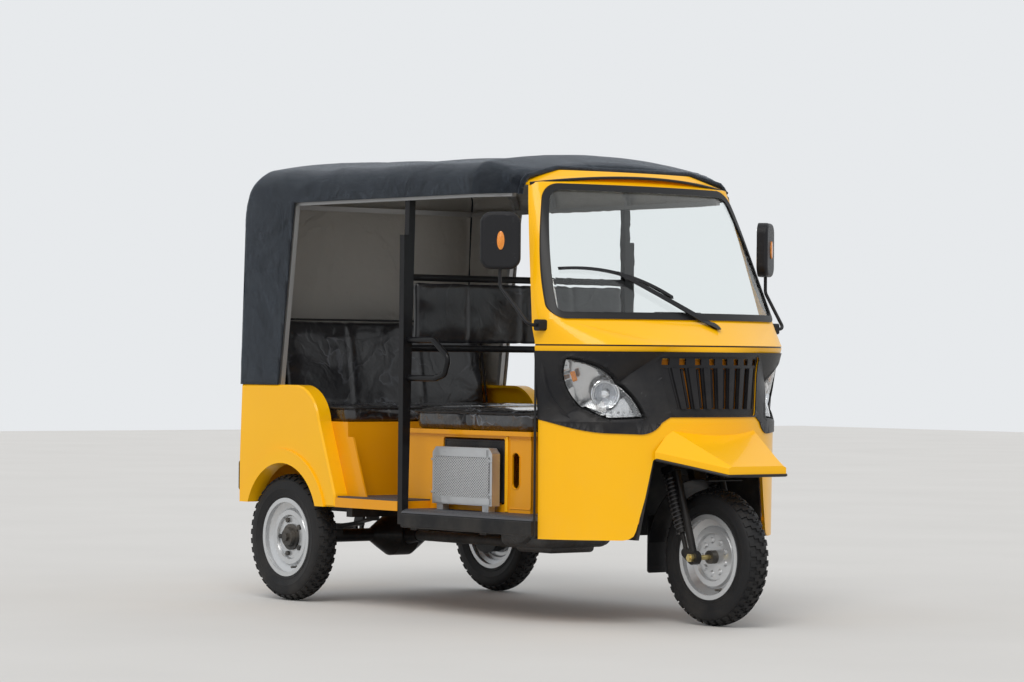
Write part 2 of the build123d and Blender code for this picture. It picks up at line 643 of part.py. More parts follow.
with BuildPart() as floor_pan:
    with BuildSketch(Plane.XY.offset(DRIVER_FLOOR - FLOOR_T)):
        with Locations((0, (FRONT_AXLE + CAB_REAR) / 2)):
            Rectangle(2 * STEP_IN, CAB_REAR - FRONT_AXLE)
    extrude(amount=FLOOR_T)
    add(cab_solid(NOSE_SECTIONS, PANEL), mode=Mode.INTERSECT)
    with BuildSketch(Plane.XY.offset(DRIVER_FLOOR - FLOOR_T)):
        with Locations((0, (CAB_REAR + POST_Y) / 2)):
            Rectangle(2 * STEP_IN, POST_Y - CAB_REAR)
        with Locations((0, (ENGINE_FRONT + ENGINE_REAR) / 2)):
            Rectangle(2 * ENGINE_HALF + 30, ENGINE_REAR - ENGINE_FRONT + 30, mode=Mode.SUBTRACT)
    extrude(amount=FLOOR_T)
    with BuildSketch(Plane.XZ.offset(-(FRONT_AXLE - 60))):
        Polygon((-WELL_FRONT_HALF, CAB_BOTTOM), (WELL_FRONT_HALF, CAB_BOTTOM),
                (WELL_TOP_HALF, WELL_TOP), (-WELL_TOP_HALF, WELL_TOP), align=None)
    with BuildSketch(Plane.XZ.offset(-WELL_REAR)):
        Polygon((-WELL_HALF, CAB_BOTTOM), (WELL_HALF, CAB_BOTTOM),
                (WELL_HALF, WELL_TOP), (-WELL_HALF, WELL_TOP), align=None)
    loft(ruled=True, mode=Mode.SUBTRACT)
    add(chassis_frame.part, mode=Mode.SUBTRACT)
save(floor_pan, "floor_pan")

# the passenger floor: a tray with side sills, a riser at the front and a cut-out for the seat box
SILL_LOW, SILL_IN, SILL_OUT = 410, 606, 618
with BuildPart() as passenger_floor:
    with BuildSketch(Plane.XZ.offset(-(POST_Y + POST_W / 2))):
        Polygon((-SILL_OUT, SILL_LOW), (-SILL_IN, SILL_LOW), (-SILL_IN, PASSENGER_FLOOR - FLOOR_T),
                (SILL_IN, PASSENGER_FLOOR - FLOOR_T), (SILL_IN, SILL_LOW), (SILL_OUT, SILL_LOW),
                (SILL_OUT, PASSENGER_FLOOR), (-SILL_OUT, PASSENGER_FLOOR), align=None)
    extrude(amount=-(BENCH_FRONT - POST_Y - POST_W / 2))
    with BuildSketch(Plane.XZ.offset(-(POST_Y + POST_W / 2))):
        Polygon((-SILL_IN, SILL_LOW), (SILL_IN, SILL_LOW), (SILL_IN, PASSENGER_FLOOR - FLOOR_T),
                (-SILL_IN, PASSENGER_FLOOR - FLOOR_T), align=None)
    extrude(amount=-12)
    with BuildSketch(Plane.XY.offset(SILL_LOW - 10)):
        with Locations((0, (POST_Y + SEAT_BOX_REAR) / 2)):
            Rectangle(2 * SEAT_BOX_HALF, SEAT_BOX_REAR - POST_Y)
    extrude(amount=80, mode=Mode.SUBTRACT)
    add(chassis_frame.part, mode=Mode.SUBTRACT)
save(passenger_floor, "passenger_floor")

with BuildPart() as floor_mat:
    # driver's mat, rolled down over the side steps
    with BuildSketch(Plane.XZ.offset(-(CAB_REAR + 2))):
        Polygon((-STEP_OUT + 2, STEP_TOP), (-STEP_IN, STEP_TOP), (-STEP_IN, DRIVER_FLOOR),
                (STEP_IN, DRIVER_FLOOR), (STEP_IN, STEP_TOP), (STEP_OUT - 2, STEP_TOP),
                (STEP_OUT - 8, STEP_TOP + 8), (STEP_IN + 20, DRIVER_FLOOR + MAT_T),
                (-STEP_IN - 20, DRIVER_FLOOR + MAT_T), (-STEP_OUT + 8, STEP_TOP + 8), align=None)
    extrude(amount=-(POST_Y - POST_W / 2 - CAB_REAR - 2))
    with BuildSketch(Plane.XY.offset(DRIVER_FLOOR)):
        with Locations((0, (SEAT_BOX_FRONT + POST_Y) / 2)):
            Rectangle(2 * SEAT_BOX_HALF, POST_Y - SEAT_BOX_FRONT)
        with Locations((0, CAB_REAR)):
            Rectangle(2 * (WELL_HALF + 6), 2 * (WELL_REAR - CAB_REAR))
    extrude(amount=MAT_T, mode=Mode.SUBTRACT)
    add(chassis_frame.part, mode=Mode.SUBTRACT)
    # passengers' mat, round the rear of the seat box
    with BuildSketch(Plane.XY.offset(PASSENGER_FLOOR)):
        with Locations((0, (POST_Y + POST_W / 2 + BENCH_FRONT) / 2)):
            Rectangle(2 * (SILL_OUT - 12), BENCH_FRONT - POST_Y - POST_W / 2)
        with Locations((0, (POST_Y + SEAT_BOX_REAR) / 2)):
            Rectangle(2 * SEAT_BOX_HALF, SEAT_BOX_REAR - POST_Y, mode=Mode.SUBTRACT)
    extrude(amount=MAT_T)
save(floor_mat, "floor_mat")

# ================================================================ nose and cab

with BuildPart() as nose_panel:
    add(cab_shell_between(NOSE_SECTIONS, 0, PANEL))
    add(cab_reach, mode=Mode.INTERSECT)
    add(through_nose(wheel_opening(), 300), mode=Mode.SUBTRACT)
    for side in (-1, 1):
        add(through_nose(lamp_outline(side, LAMP_RIM), 300), mode=Mode.SUBTRACT)
    # pocket behind the grille
    add(nose_layer(grille_outline(6), 0, GRILLE_POCKET + 6, 200))
    add(nose_layer(grille_outline(), -1, GRILLE_POCKET, 200), mode=Mode.SUBTRACT)
save(nose_panel, "nose_panel")

with BuildPart() as fascia_band:
    add(cab_shell_between(NOSE_SECTIONS, -BAND_T, 0))
    add(cab_reach, mode=Mode.INTERSECT)
    add(through_nose(band_outline(), 580), mode=Mode.INTERSECT)
    for side in (-1, 1):
        add(through_nose(lamp_outline(side, LAMP_RIM), 300), mode=Mode.SUBTRACT)
    add(through_nose(grille_outline(), 200), mode=Mode.SUBTRACT)
save(fascia_band, "fascia_band")


def grille_columns(inner, outer, width, top, low):
    """Slots or ribs that draw together downwards, numbered outwards from the middle."""
    with BuildSketch(Plane.XZ) as columns:
        for side in (-1, 1):
            for column in range(inner, outer):
                head, foot = side * PITCH_TOP * (column + 0.5), side * PITCH_LOW * (column + 0.5)
                Polygon((head - width / 2, top), (head + width / 2, top),
                        (foot + width / 2, low), (foot - width / 2, low), align=None)
    return columns.sketch


with BuildPart() as grille:
    add(nose_layer(grille_outline(), GRILLE_SUNK, GRILLE_SUNK + GRILLE_T, 200))
    # raised bars between the slots, and one in the middle
    for column in (0, 1, 2, 3):
        for side in ((-1, 1) if column else (1,)):
            with BuildSketch(Plane.XZ) as bar_face:
                head, foot = side * PITCH_TOP * column, side * PITCH_LOW * column
                Polygon((head - 15, SLOT_HIGH), (head + 15, SLOT_HIGH), (foot + 11, SLOT_LOW),
                        (foot - 11, SLOT_LOW), align=None)
            add(nose_layer(bar_face.sketch, -BAND_T, GRILLE_SUNK, 200))
    add(through_nose(grille_columns(0, 3, SLOT_W, SLOT_HIGH, SLOT_LOW), 200), mode=Mode.SUBTRACT)
    with BuildSketch(Plane.XZ) as holes:
        with GridLocations(PITCH_TOP, 1, 8, 1):
            with Locations((0, HOLE_Z)):
                Rectangle(HOLE_W, HOLE_H)
    add(through_nose(holes.sketch, 200), mode=Mode.SUBTRACT)
    # the outermost columns are blind
    add(nose_layer(grille_columns(3, 4, SLOT_W, SLOT_HIGH, SLOT_LOW), -20, GRILLE_SUNK + 3, 200),
        mode=Mode.SUBTRACT)
save(grille, "grille")

for label, side in (("right", -1), ("left", 1)):
    with BuildPart() as headlamp:
        add(nose_layer(lamp_outline(side, LAMP_RIM), PANEL, LAMP_DEPTH, 300))
        add(nose_layer(lamp_outline(side, LAMP_RIM), -BAND_T, PANEL, 300))
        add(nose_layer(lamp_outline(side, LAMP_RIM - LAMP_RIM_W), -BAND_T - 1, PANEL, 300), mode=Mode.SUBTRACT)
        add(nose_layer(lamp_outline(side), 3, PANEL, 300))
    save(headlamp, f"headlamp_{label}")

with BuildPart() as belt_strip:
    add(cab_shell_between(SEAM_SECTIONS, 3, PANEL))
    add(cab_reach, mode=Mode.INTERSECT)
save(belt_strip, "belt_strip")

with BuildPart() as brim:
    with BuildSketch(Plane.XY.offset(HEADER - 60)):
        with BuildLine():
            ThreePointArc((-BRIM_HALF, BRIM_SIDE_Y), (0, BRIM_LIP_Y), (BRIM_HALF, BRIM_SIDE_Y))
            Polyline((BRIM_HALF, BRIM_SIDE_Y), (BRIM_HALF, ROOF_REAR), (-BRIM_HALF, ROOF_REAR),
                     (-BRIM_HALF, BRIM_SIDE_Y))
        make_face()
    extrude(amount=120)
    with BuildSketch(Plane.XZ) as arch:
        with BuildLine():
            ThreePointArc((-BRIM_HALF, BRIM_SIDE_Z), (0, BRIM_MIDDLE_Z), (BRIM_HALF, BRIM_SIDE_Z))
            Line((BRIM_HALF, BRIM_SIDE_Z), (BRIM_HALF, BRIM_SIDE_Z + BRIM_T))
            ThreePointArc((BRIM_HALF, BRIM_SIDE_Z + BRIM_T), (0, BRIM_MIDDLE_Z + BRIM_T),
                          (-BRIM_HALF, BRIM_SIDE_Z + BRIM_T))
            Line((-BRIM_HALF, BRIM_SIDE_Z + BRIM_T), (-BRIM_HALF, BRIM_SIDE_Z))
        make_face()
    add(through_nose(arch.sketch, 600), mode=Mode.INTERSECT)
    add(cab_solid(CAB_SECTIONS, PANEL / 2), mode=Mode.SUBTRACT)

with BuildPart() as cab_frame:
    add(cab_solid(CAB_SECTIONS, 0))
    add(cab_solid(CAB_SECTIONS[:-1] + ((CAB_TOP - PANEL,) + CAB_SECTIONS[-1][1:],), PANEL, tail=20),
        mode=Mode.SUBTRACT)
    add(cab_reach, mode=Mode.INTERSECT)
    add(through_nose(screen_outline(), 580), mode=Mode.SUBTRACT)
    add(brim.part)
save(cab_frame, "cab_frame")

with BuildPart() as windscreen_seal:
    add(nose_layer(screen_outline(), -SEAL_PROUD, PANEL, 580, CAB_SECTIONS[1:3]))
    add(through_nose(screen_outline(SEAL_W), 580), mode=Mode.SUBTRACT)
save(windscreen_seal, "windscreen_seal")

with BuildPart() as windscreen_glass:
    add(nose_layer(screen_outline(SEAL_W), 2, 2 + GLASS_T, 580, CAB_SECTIONS[1:3]))
save(windscreen_glass, "windscreen_glass")

# one wiper: a boss on the cowl, an arm and a curved blade, all following the screen
WIPER_PIVOT, WIPER_HEAD = (76, 1166), (-296, 1368)
with BuildPart() as wiper:
    with BuildSketch(Plane.XZ) as boss:
        with Locations(WIPER_PIVOT):
            Circle(15)
    add(nose_layer(boss.sketch, -24, 0, 400, CAB_SECTIONS[:3]))
    with BuildSketch(Plane.XZ) as arm:
        with BuildLine():
            Polyline((WIPER_PIVOT[0] + 8, WIPER_PIVOT[1] + 10), (WIPER_HEAD[0] + 3, WIPER_HEAD[1] + 6),
                     (WIPER_HEAD[0] - 3, WIPER_HEAD[1] - 6), (WIPER_PIVOT[0] - 8, WIPER_PIVOT[1] - 10), close=True)
        make_face()
    add(nose_layer(arm.sketch, -24, -16, 400, CAB_SECTIONS[:3]))
    with BuildSketch(Plane.XZ) as blade:
        with BuildLine():
            ThreePointArc((-511, 1376), (-296, 1362), (-77, 1270))
            Line((-77, 1270), (-74, 1282))
            ThreePointArc((-74, 1282), (-294, 1374), (-511, 1388))
            Line((-511, 1388), (-511, 1376))
        make_face()
    add(nose_layer(blade.sketch, -17, 1, 480, CAB_SECTIONS[:3]))
save(wiper, "wiper")

# hood over the front wheel. columns: y, half width of the hem, hem, half width of the ridge, ridge
VISOR_LIP, VISOR_T = 27, 7
VISOR_SECTIONS = (
    (FRONT_AXLE + 30, 292, 650, 215, 764),
    (FRONT_AXLE - 234, 150, 592, 132, 626),
)


def visor_section(section, inset=0, forward=0):
    y, hem_x, hem_z, ridge_x, ridge_z = section
    with BuildSketch(Plane.XZ.offset(-y + forward)) as cross:
        Polygon((-hem_x + inset, hem_z - 8 * inset), (-hem_x + inset, hem_z + VISOR_LIP),
                (-ridge_x + inset / 2, ridge_z - inset), (ridge_x - inset / 2, ridge_z - inset),
                (hem_x - inset, hem_z + VISOR_LIP), (hem_x - inset, hem_z - 8 * inset), align=None)
    return cross.sketch


with BuildPart() as front_visor:
    loft(sections=[visor_section(section) for section in VISOR_SECTIONS], ruled=True)
    loft(sections=[visor_section(VISOR_SECTIONS[0], VISOR_T), visor_section(VISOR_SECTIONS[1], VISOR_T, -VISOR_T)],
         ruled=True, mode=Mode.SUBTRACT)
    add(cab_solid(NOSE_SECTIONS, 0), mode=Mode.SUBTRACT)
save(front_visor, "front_visor")

# ================================================================ cab fittings

with BuildPart() as dashboard:
    with BuildSketch(Plane.YZ.offset(-540)):
        Polygon((FRONT_AXLE + 60, 1124), (FRONT_AXLE + 150, 1180), (FRONT_AXLE + 290, 1176),
                (FRONT_AXLE + 306, 1160), (FRONT_AXLE + 290, 1124), align=None)
    extrude(amount=1080)
    # instrument pod in front of the driver
    with BuildSketch(Plane.YZ.offset(-110)):
        Polygon((FRONT_AXLE + 205, 1170), (FRONT_AXLE + 225, 1218), (FRONT_AXLE + 250, 1218),
                (FRONT_AXLE + 284, 1170), align=None)
    extrude(amount=220)
    add(cab_solid(CAB_SECTIONS, PANEL, tail=20), mode=Mode.INTERSECT)
save(dashboard, "dashboard")

MIRROR_X, MIRROR_Y, MIRROR_Z = 700, FRONT_AXLE + 482, 1487
MIRROR_W, MIRROR_H, MIRROR_T, MIRROR_TURN = 158, 222, 45, 36
CLAMP_Y, CLAMP_Z = FRONT_AXLE + 340, 1161
for label, side in (("right", -1), ("left", 1)):
    with BuildPart() as mirror:
        turn = radians(MIRROR_TURN)
        ahead = Vector(side * sin(turn), -cos(turn), 0)
        middle = Vector(side * MIRROR_X, MIRROR_Y, MIRROR_Z)
        with BuildSketch(Plane(origin=middle - ahead * (MIRROR_T / 2), x_dir=(cos(turn), side * sin(turn), 0),
                               z_dir=ahead)):
            RectangleRounded(MIRROR_W, MIRROR_H, 45)
        extrude(amount=MIRROR_T)
        fillet(mirror.faces().sort_by(Axis(tuple(middle), tuple(ahead)))[-1].edges(), radius=14)
        with BuildSketch(Plane.YZ.offset(side * 560)):
            with Locations((CLAMP_Y, CLAMP_Z)):
                RectangleRounded(34, 44, 10)
        extrude(amount=side * 72)
        add(cab_solid(CAB_SECTIONS), mode=Mode.SUBTRACT)
        with BuildLine() as arm:
            FilletPolyline((side * 620, CLAMP_Y, CLAMP_Z), (side * 672, CLAMP_Y, CLAMP_Z),
                           (side * MIRROR_X, MIRROR_Y, CLAMP_Z + 150),
                           (side * MIRROR_X, MIRROR_Y, MIRROR_Z - MIRROR_H / 2 + 10), radius=30)
        with BuildSketch(Plane(origin=(side * 620, CLAMP_Y, CLAMP_Z), z_dir=(side, 0, 0))):
            Circle(7)
        sweep(path=arm.wire())
    save(mirror, f"mirror_{label}")

# ================================================================ partition


def post_x(z):
    """Half width over the leaning posts at a height."""
    return POST_X - POST_LEAN * (z - POST_BOTTOM) / (POST_TOP - POST_BOTTOM)


with BuildPart() as partition_frame:
    rise = POST_TOP - POST_BOTTOM
    for side in (-1, 1):
        with BuildSketch(Plane.XY.offset(POST_BOTTOM)) as foot:
            with Locations((side * POST_X, POST_Y)):
                Rectangle(POST_W, POST_W)
        extrude(foot.sketch, amount=sqrt(rise ** 2 + POST_LEAN ** 2), dir=(-side * POST_LEAN, 0, rise))
    for z in (RAIL_LOW, RAIL_UP):
        with BuildSketch(Plane.YZ.offset(-post_x(z))):
            with Locations((POST_Y, z)):
                Circle(RAIL_R)
        extrude(amount=2 * post_x(z))
save(partition_frame, "partition_frame")

with BuildPart() as partition_pad:
    with BuildSketch(Plane.XZ.offset(-(POST_Y - 22))):
        with Locations((0, (RAIL_LOW + RAIL_UP) / 2)):
            RectangleRounded(2 * post_x(RAIL_UP) - POST_W - 8, RAIL_UP - RAIL_LOW - 2 * RAIL_R, 18)
    extrude(amount=-44)
save(partition_pad, "partition_pad")

HANDLE_R, HANDLE_TOP, HANDLE_LOW = 12.5, 1103, 949
with BuildPart() as grab_handles:
    for side in (-1, 1):
        handle_x = side * post_x((HANDLE_TOP + HANDLE_LOW) / 2)
        front = POST_Y - POST_W / 2
        with BuildLine() as loop:
            # columns: how far ahead of the post, height
            FilletPolyline(*[(handle_x, front - ahead, z) for ahead, z in (
                (0, HANDLE_TOP), (163, HANDLE_TOP), (262, 1031), (237, 966), (179, HANDLE_LOW),
                (0, HANDLE_LOW))], radius=26)
        with BuildSketch(Plane(origin=(handle_x, front, HANDLE_TOP), z_dir=(0, -1, 0))):
            Circle(HANDLE_R)
        sweep(path=loop.wire())
save(grab_handles, "grab_handles")

WALL_T = 6
WINDOW_FRONT, WINDOW_REAR = POST_Y - 470, POST_Y - 70
box_middle, box_length = (SEAT_BOX_FRONT + SEAT_BOX_REAR) / 2, SEAT_BOX_REAR - SEAT_BOX_FRONT
with BuildPart() as driver_seat_box:
    with BuildSketch(Plane.XY.offset(DRIVER_FLOOR)):
        with Locations((0, box_middle)):
            Rectangle(2 * SEAT_BOX_HALF, box_length)
            Rectangle(2 * (SEAT_BOX_HALF - WALL_T), box_length - 2 * WALL_T, mode=Mode.SUBTRACT)
    extrude(amount=SEAT_BOX_TOP - DRIVER_FLOOR)
    # top with an overhanging rim
    with BuildSketch(Plane.XY.offset(SEAT_BOX_TOP - 18)):
        with Locations((0, box_middle)):
            RectangleRounded(2 * (SEAT_BOX_HALF + SEAT_RIM), box_length + 2 * SEAT_RIM, 12)
    extrude(amount=18)
    # radiator window on the right, lifting slots on both sides
    with BuildSketch(Plane.YZ.offset(-SEAT_BOX_HALF - 10)):
        with Locations(((WINDOW_FRONT + WINDOW_REAR) / 2, 581)):
            RectangleRounded(WINDOW_REAR - WINDOW_FRONT, 262, 12)
    extrude(amount=60, mode=Mode.SUBTRACT)
    with BuildSketch(Plane.YZ.offset(-SEAT_BOX_HALF - 10)):
        with Locations((POST_Y - 540, 587)):
            SlotOverall(140, 44, rotation=90)
    extrude(amount=2 * SEAT_BOX_HALF + 20, mode=Mode.SUBTRACT)
    add(chassis_frame.part, mode=Mode.SUBTRACT)
save(driver_seat_box, "driver_seat_box")

with BuildPart() as driver_cushion:
    with BuildSketch(Plane.XY.offset(SEAT_BOX_TOP)):
        with Locations((0, box_middle)):
            RectangleRounded(2 * SEAT_BOX_HALF + 10, box_length - 16, 60)
    extrude(amount=SEAT_TOP - SEAT_BOX_TOP)
save(driver_cushion, "driver_cushion")

RADIATOR_X, RADIATOR_T = 506, 40
RADIATOR_Y, RADIATOR_L = POST_Y - 267, 386
RADIATOR_LOW, RADIATOR_TOP = 444, 674
with BuildPart() as radiator:
    with BuildSketch(Plane.YZ.offset(-RADIATOR_X)) as case:
        with Locations((RADIATOR_Y, (RADIATOR_LOW + RADIATOR_TOP) / 2)):
            Rectangle(RADIATOR_L, RADIATOR_TOP - RADIATOR_LOW)
        chamfer(case.vertices().group_by(Axis.Y)[-1], length=22)
    extrude(amount=RADIATOR_T)
    # core set back between the tanks and the side channels
    with BuildSketch(Plane.YZ.offset(-RADIATOR_X)):
        with Locations((RADIATOR_Y, 556)):
            Rectangle(RADIATOR_L - 44, 152)
    extrude(amount=7, mode=Mode.SUBTRACT)
    with BuildSketch(Plane.YZ.offset(-RADIATOR_X - 6)):
        with Locations((RADIATOR_Y, 652)):
            Rectangle(RADIATOR_L - 60, 30)
        with Locations((RADIATOR_Y, 462)):
            Rectangle(RADIATOR_L - 20, 26)
    extrude(amount=6)
    # feet on the floor mat
    with BuildSketch(Plane.XY.offset(DRIVER_FLOOR + MAT_T)):
        with Locations((-RADIATOR_X + RADIATOR_T / 2, RADIATOR_Y)):
            with GridLocations(1, RADIATOR_L - 90, 1, 2):
                Rectangle(RADIATOR_T - 8, 40)
    extrude(amount=RADIATOR_LOW - DRIVER_FLOOR - MAT_T)
save(radiator, "radiator")

# ================================================================ rear body


def quarter_outline(x, inset=0):
    with BuildSketch(Plane.YZ.offset(x)) as outline:
        with BuildLine():
            rear = REAR_AXLE + 315
            Polyline((rear, 409), (rear, 600), (rear - 14, HOOD_HEM), (REAR_AXLE - 107, HOOD_HEM))
            ThreePointArc((REAR_AXLE - 107, HOOD_HEM), (REAR_AXLE - 224, 855), (REAR_AXLE - 268, 764))
            Polyline((REAR_AXLE - 268, 764), (REAR_AXLE - 384, 462), (REAR_AXLE - 384, 410),
                     (REAR_AXLE - 290, 409), (rear, 409))
        make_face()
        with Locations((ARCH_Y, ARCH_Z)):
            Circle(ARCH_R, mode=Mode.SUBTRACT)
        if inset:
            offset(amount=-inset)
    return outline.sketch


for label, side in (("right", -1), ("left", 1)):
    inward, outward = (-side, 0, 0), (side, 0, 0)
    with BuildPart() as quarter:
        extrude(quarter_outline(side * SKIN_X), amount=QUARTER_DEPTH, dir=inward)
        chamfer(quarter.faces().sort_by(Axis.X)[-1 if side > 0 else 0].outer_wire().edges(), length=7)
        extrude(quarter_outline(side * (SKIN_X - PANEL), PANEL), amount=QUARTER_DEPTH, dir=inward,
                mode=Mode.SUBTRACT)
        # flare round the wheel arch
        with BuildSketch(Plane.YZ.offset(side * (SKIN_X - PANEL))) as flare:
            with Locations((ARCH_Y, ARCH_Z)):
                Circle(FLARE_R)
                Circle(ARCH_R, mode=Mode.SUBTRACT)
            with Locations((ARCH_Y, 409 + 300)):
                Rectangle(2 * FLARE_R, 600, mode=Mode.INTERSECT)
        extrude(flare.sketch, amount=FLARE_X - SKIN_X + PANEL, dir=outward)
    save(quarter, f"rear_quarter_{label}")

with BuildPart() as rear_panel:
    inner_half = SKIN_X - QUARTER_DEPTH
    with BuildSketch(Plane.XZ.offset(-PANEL_Y)):
        with Locations((0, (409 + HOOD_HEM) / 2)):
            Rectangle(2 * inner_half, HOOD_HEM - 409)
    extrude(amount=-14)
    # service hatch with louvres
    with BuildSketch(Plane.XZ.offset(-(PANEL_Y + 14))):
        with Locations((0, 600)):
            RectangleRounded(760, 300, 24)
            RectangleRounded(748, 288, 20, mode=Mode.SUBTRACT)
    extrude(amount=3, mode=Mode.SUBTRACT)
    with BuildSketch(Plane.XZ.offset(-(PANEL_Y - 10))):
        with Locations((0, 600)):
            with GridLocations(340, 40, 2, 6):
                SlotOverall(280, 16)
    extrude(amount=-60, mode=Mode.SUBTRACT)
save(rear_panel, "rear_panel")

with BuildPart() as tail_lamps:
    for side in (-1, 1):
        with BuildSketch(Plane.XZ.offset(-REAR_END)):
            with Locations((side * (SKIN_X - 34), 520)):
                RectangleRounded(56, 130, 14)
        extrude(amount=REAR_END - REAR_AXLE - 315)
save(tail_lamps, "tail_lamps")

with BuildPart() as bench_base:
    with BuildSketch(Plane.YZ.offset(-inner_half)):
        Polygon((BENCH_FRONT, PASSENGER_FLOOR - FLOOR_T), (BENCH_FRONT, BENCH_TOP), (PANEL_Y, BENCH_TOP),
                (PANEL_Y, BENCH_TOP - PANEL), (BENCH_FRONT + PANEL, BENCH_TOP - PANEL),
                (BENCH_FRONT + PANEL, PASSENGER_FLOOR - FLOOR_T), align=None)
    extrude(amount=2 * inner_half)
    # gussets from the seat edge down to the floor
    for side in (-1, 1):
        with BuildSketch(Plane.YZ.offset(side * inner_half)):
            Polygon((BENCH_FRONT, 700), (BENCH_FRONT - 36, 700), (BENCH_FRONT - 130, PASSENGER_FLOOR + MAT_T),
                    (BENCH_FRONT, PASSENGER_FLOOR + MAT_T), align=None)
        extrude(amount=-side * 8)
        # web behind it that closes the box against the quarter
        with BuildSketch(Plane.YZ.offset(side * inner_half)):
            Polygon((BENCH_FRONT, PASSENGER_FLOOR + MAT_T), (BENCH_FRONT + 26, PASSENGER_FLOOR + MAT_T),
                    (REAR_AXLE - 246, BENCH_TOP), (BENCH_FRONT, BENCH_TOP), align=None)
        extrude(amount=-side * 8)
    add(chassis_frame.part, mode=Mode.SUBTRACT)
save(bench_base, "bench_base")

with BuildPart() as bench_cushion:
    with BuildSketch(Plane.XY.offset(BENCH_TOP)):
        with Locations((0, (BENCH_FRONT - 10 + REAR_AXLE + 45) / 2)):
            RectangleRounded(2 * (inner_half - 2), REAR_AXLE + 45 - BENCH_FRONT + 10, 50)
    extrude(amount=BENCH_CUSHION_TOP - BENCH_TOP)
save(bench_cushion, "bench_cushion")

with BuildPart() as bench_backrest:
    with BuildSketch(Plane.YZ.offset(-(inner_half - 6))) as side_view:
        Polygon((REAR_AXLE + 50, BENCH_TOP), (REAR_AXLE + 140, BENCH_TOP),
                (REAR_AXLE + 215, BACKREST_TOP), (REAR_AXLE + 130, BACKREST_TOP), align=None)
        fillet(side_view.vertices().group_by(Axis.Y)[-1], radius=30)
    extrude(amount=2 * (inner_half - 6))
save(bench_backrest, "bench_backrest")

# ================================================================ canopy


def hood_face(section, inset):
    """Cross-section of the top in (x, z): straight sides, round shoulders and a bowed crown."""
    y, half, shoulder, crown = section
    half, shoulder, crown = half - inset, shoulder - inset, crown - inset
    with BuildSketch(Plane.XZ.offset(-y)) as cross:
        with BuildLine():
            Line((-half, HOOD_HEM), (-half, shoulder - 60))
            ThreePointArc((-half, shoulder - 60), (-half + 22, shoulder), (-half + 80, shoulder + 32))
            ThreePointArc((-half + 80, shoulder + 32), (0, crown), (half - 80, shoulder + 32))
            ThreePointArc((half - 80, shoulder + 32), (half - 22, shoulder), (half, shoulder - 60))
            Line((half, shoulder - 60), (half, HOOD_HEM))
            Line((half, HOOD_HEM), (-half, HOOD_HEM))
        make_face()
    return cross.sketch


def hood_solid(inset):
    """The whole volume under the top, with its rounded rear corner, drawn in by an inset."""
    with BuildPart() as volume:
        loft(sections=[hood_face(section, inset) for section in HOOD_SECTIONS], ruled=True)
        with BuildSketch(Plane.YZ) as profile:
            with BuildLine():
                Polyline((HOOD_REAR - 33 - inset, 1638), (HOOD_REAR + 2 - inset, HOOD_HEM - 60),
                         (HOOD_FRONT - 50, HOOD_HEM - 60), (HOOD_FRONT - 50, 1880), (REAR_AXLE + 40, 1870 - inset))
                ThreePointArc((REAR_AXLE + 40, 1870 - inset), (REAR_AXLE + 222 - inset, 1780 - inset),
                              (HOOD_REAR - 33 - inset, 1638))
            make_face()
        extrude(profile.sketch, amount=900, both=True, mode=Mode.INTERSECT)
    return volume.part


inner_hood = hood_solid(HOOD_T)
with BuildPart() as canopy:
    add(hood_solid(0))
    add(inner_hood, mode=Mode.SUBTRACT)
    # doorways on both sides, from under the roof's edge down, to the leaning edge of the rear curtain
    with BuildSketch(Plane.YZ):
        Polygon((HOOD_FRONT - 60, 0), (HOOD_FRONT - 60, HOOD_SKIRT), (REAR_AXLE - 74, HOOD_SKIRT),
                (REAR_AXLE + 31, HOOD_HEM - 10), (REAR_AXLE + 31, 0), align=None)
    extrude(amount=900, both=True, mode=Mode.SUBTRACT)
    # bowed front edge
    with BuildSketch(Plane.XY.offset(HOOD_SKIRT - 50)):
        with BuildLine():
            ThreePointArc((-620, HOOD_FRONT - 10), (0, HOOD_LIP), (620, HOOD_FRONT - 10))
            Polyline((620, HOOD_FRONT - 10), (620, HOOD_FRONT - 200), (-620, HOOD_FRONT - 200),
                     (-620, HOOD_FRONT - 10))
        make_face()
    extrude(amount=300, mode=Mode.SUBTRACT)
    add(cab_frame.part, mode=Mode.SUBTRACT)
save(canopy, "canopy")

bow_slabs = [
    side_profile([(y, POST_TOP), (y + BOW, POST_TOP), (y + BOW, 1900), (y, 1900)])
    for y in (ROOF_REAR, POST_Y - BOW / 2, REAR_AXLE - 330)]
bow_slabs.append(side_profile([
    (REAR_AXLE + 34, HOOD_HEM), (REAR_AXLE + 34 + BOW, HOOD_HEM), (REAR_AXLE - 68 + BOW, HOOD_SKIRT),
    (REAR_AXLE - 68 + BOW, 1900), (REAR_AXLE - 68, 1900), (REAR_AXLE - 68, HOOD_SKIRT)]))
bow_slabs.append(side_profile([
    (ROOF_REAR, POST_TOP), (HOOD_REAR + 20, POST_TOP), (HOOD_REAR + 20, POST_TOP + BOW),
    (ROOF_REAR, POST_TOP + BOW)]))
with BuildPart() as bow_reach:
    for slab in bow_slabs:
        add(slab)
with BuildPart() as canopy_bows:
    add(inner_hood)
    add(hood_solid(HOOD_T + BOW), mode=Mode.SUBTRACT)
    add(bow_reach.part, mode=Mode.INTERSECT)
save(canopy_bows, "canopy_bows")
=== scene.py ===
import json
from math import atan2, cos, floor, pi, radians, sin

import bmesh
import bpy
from mathutils import Matrix, Vector, noise

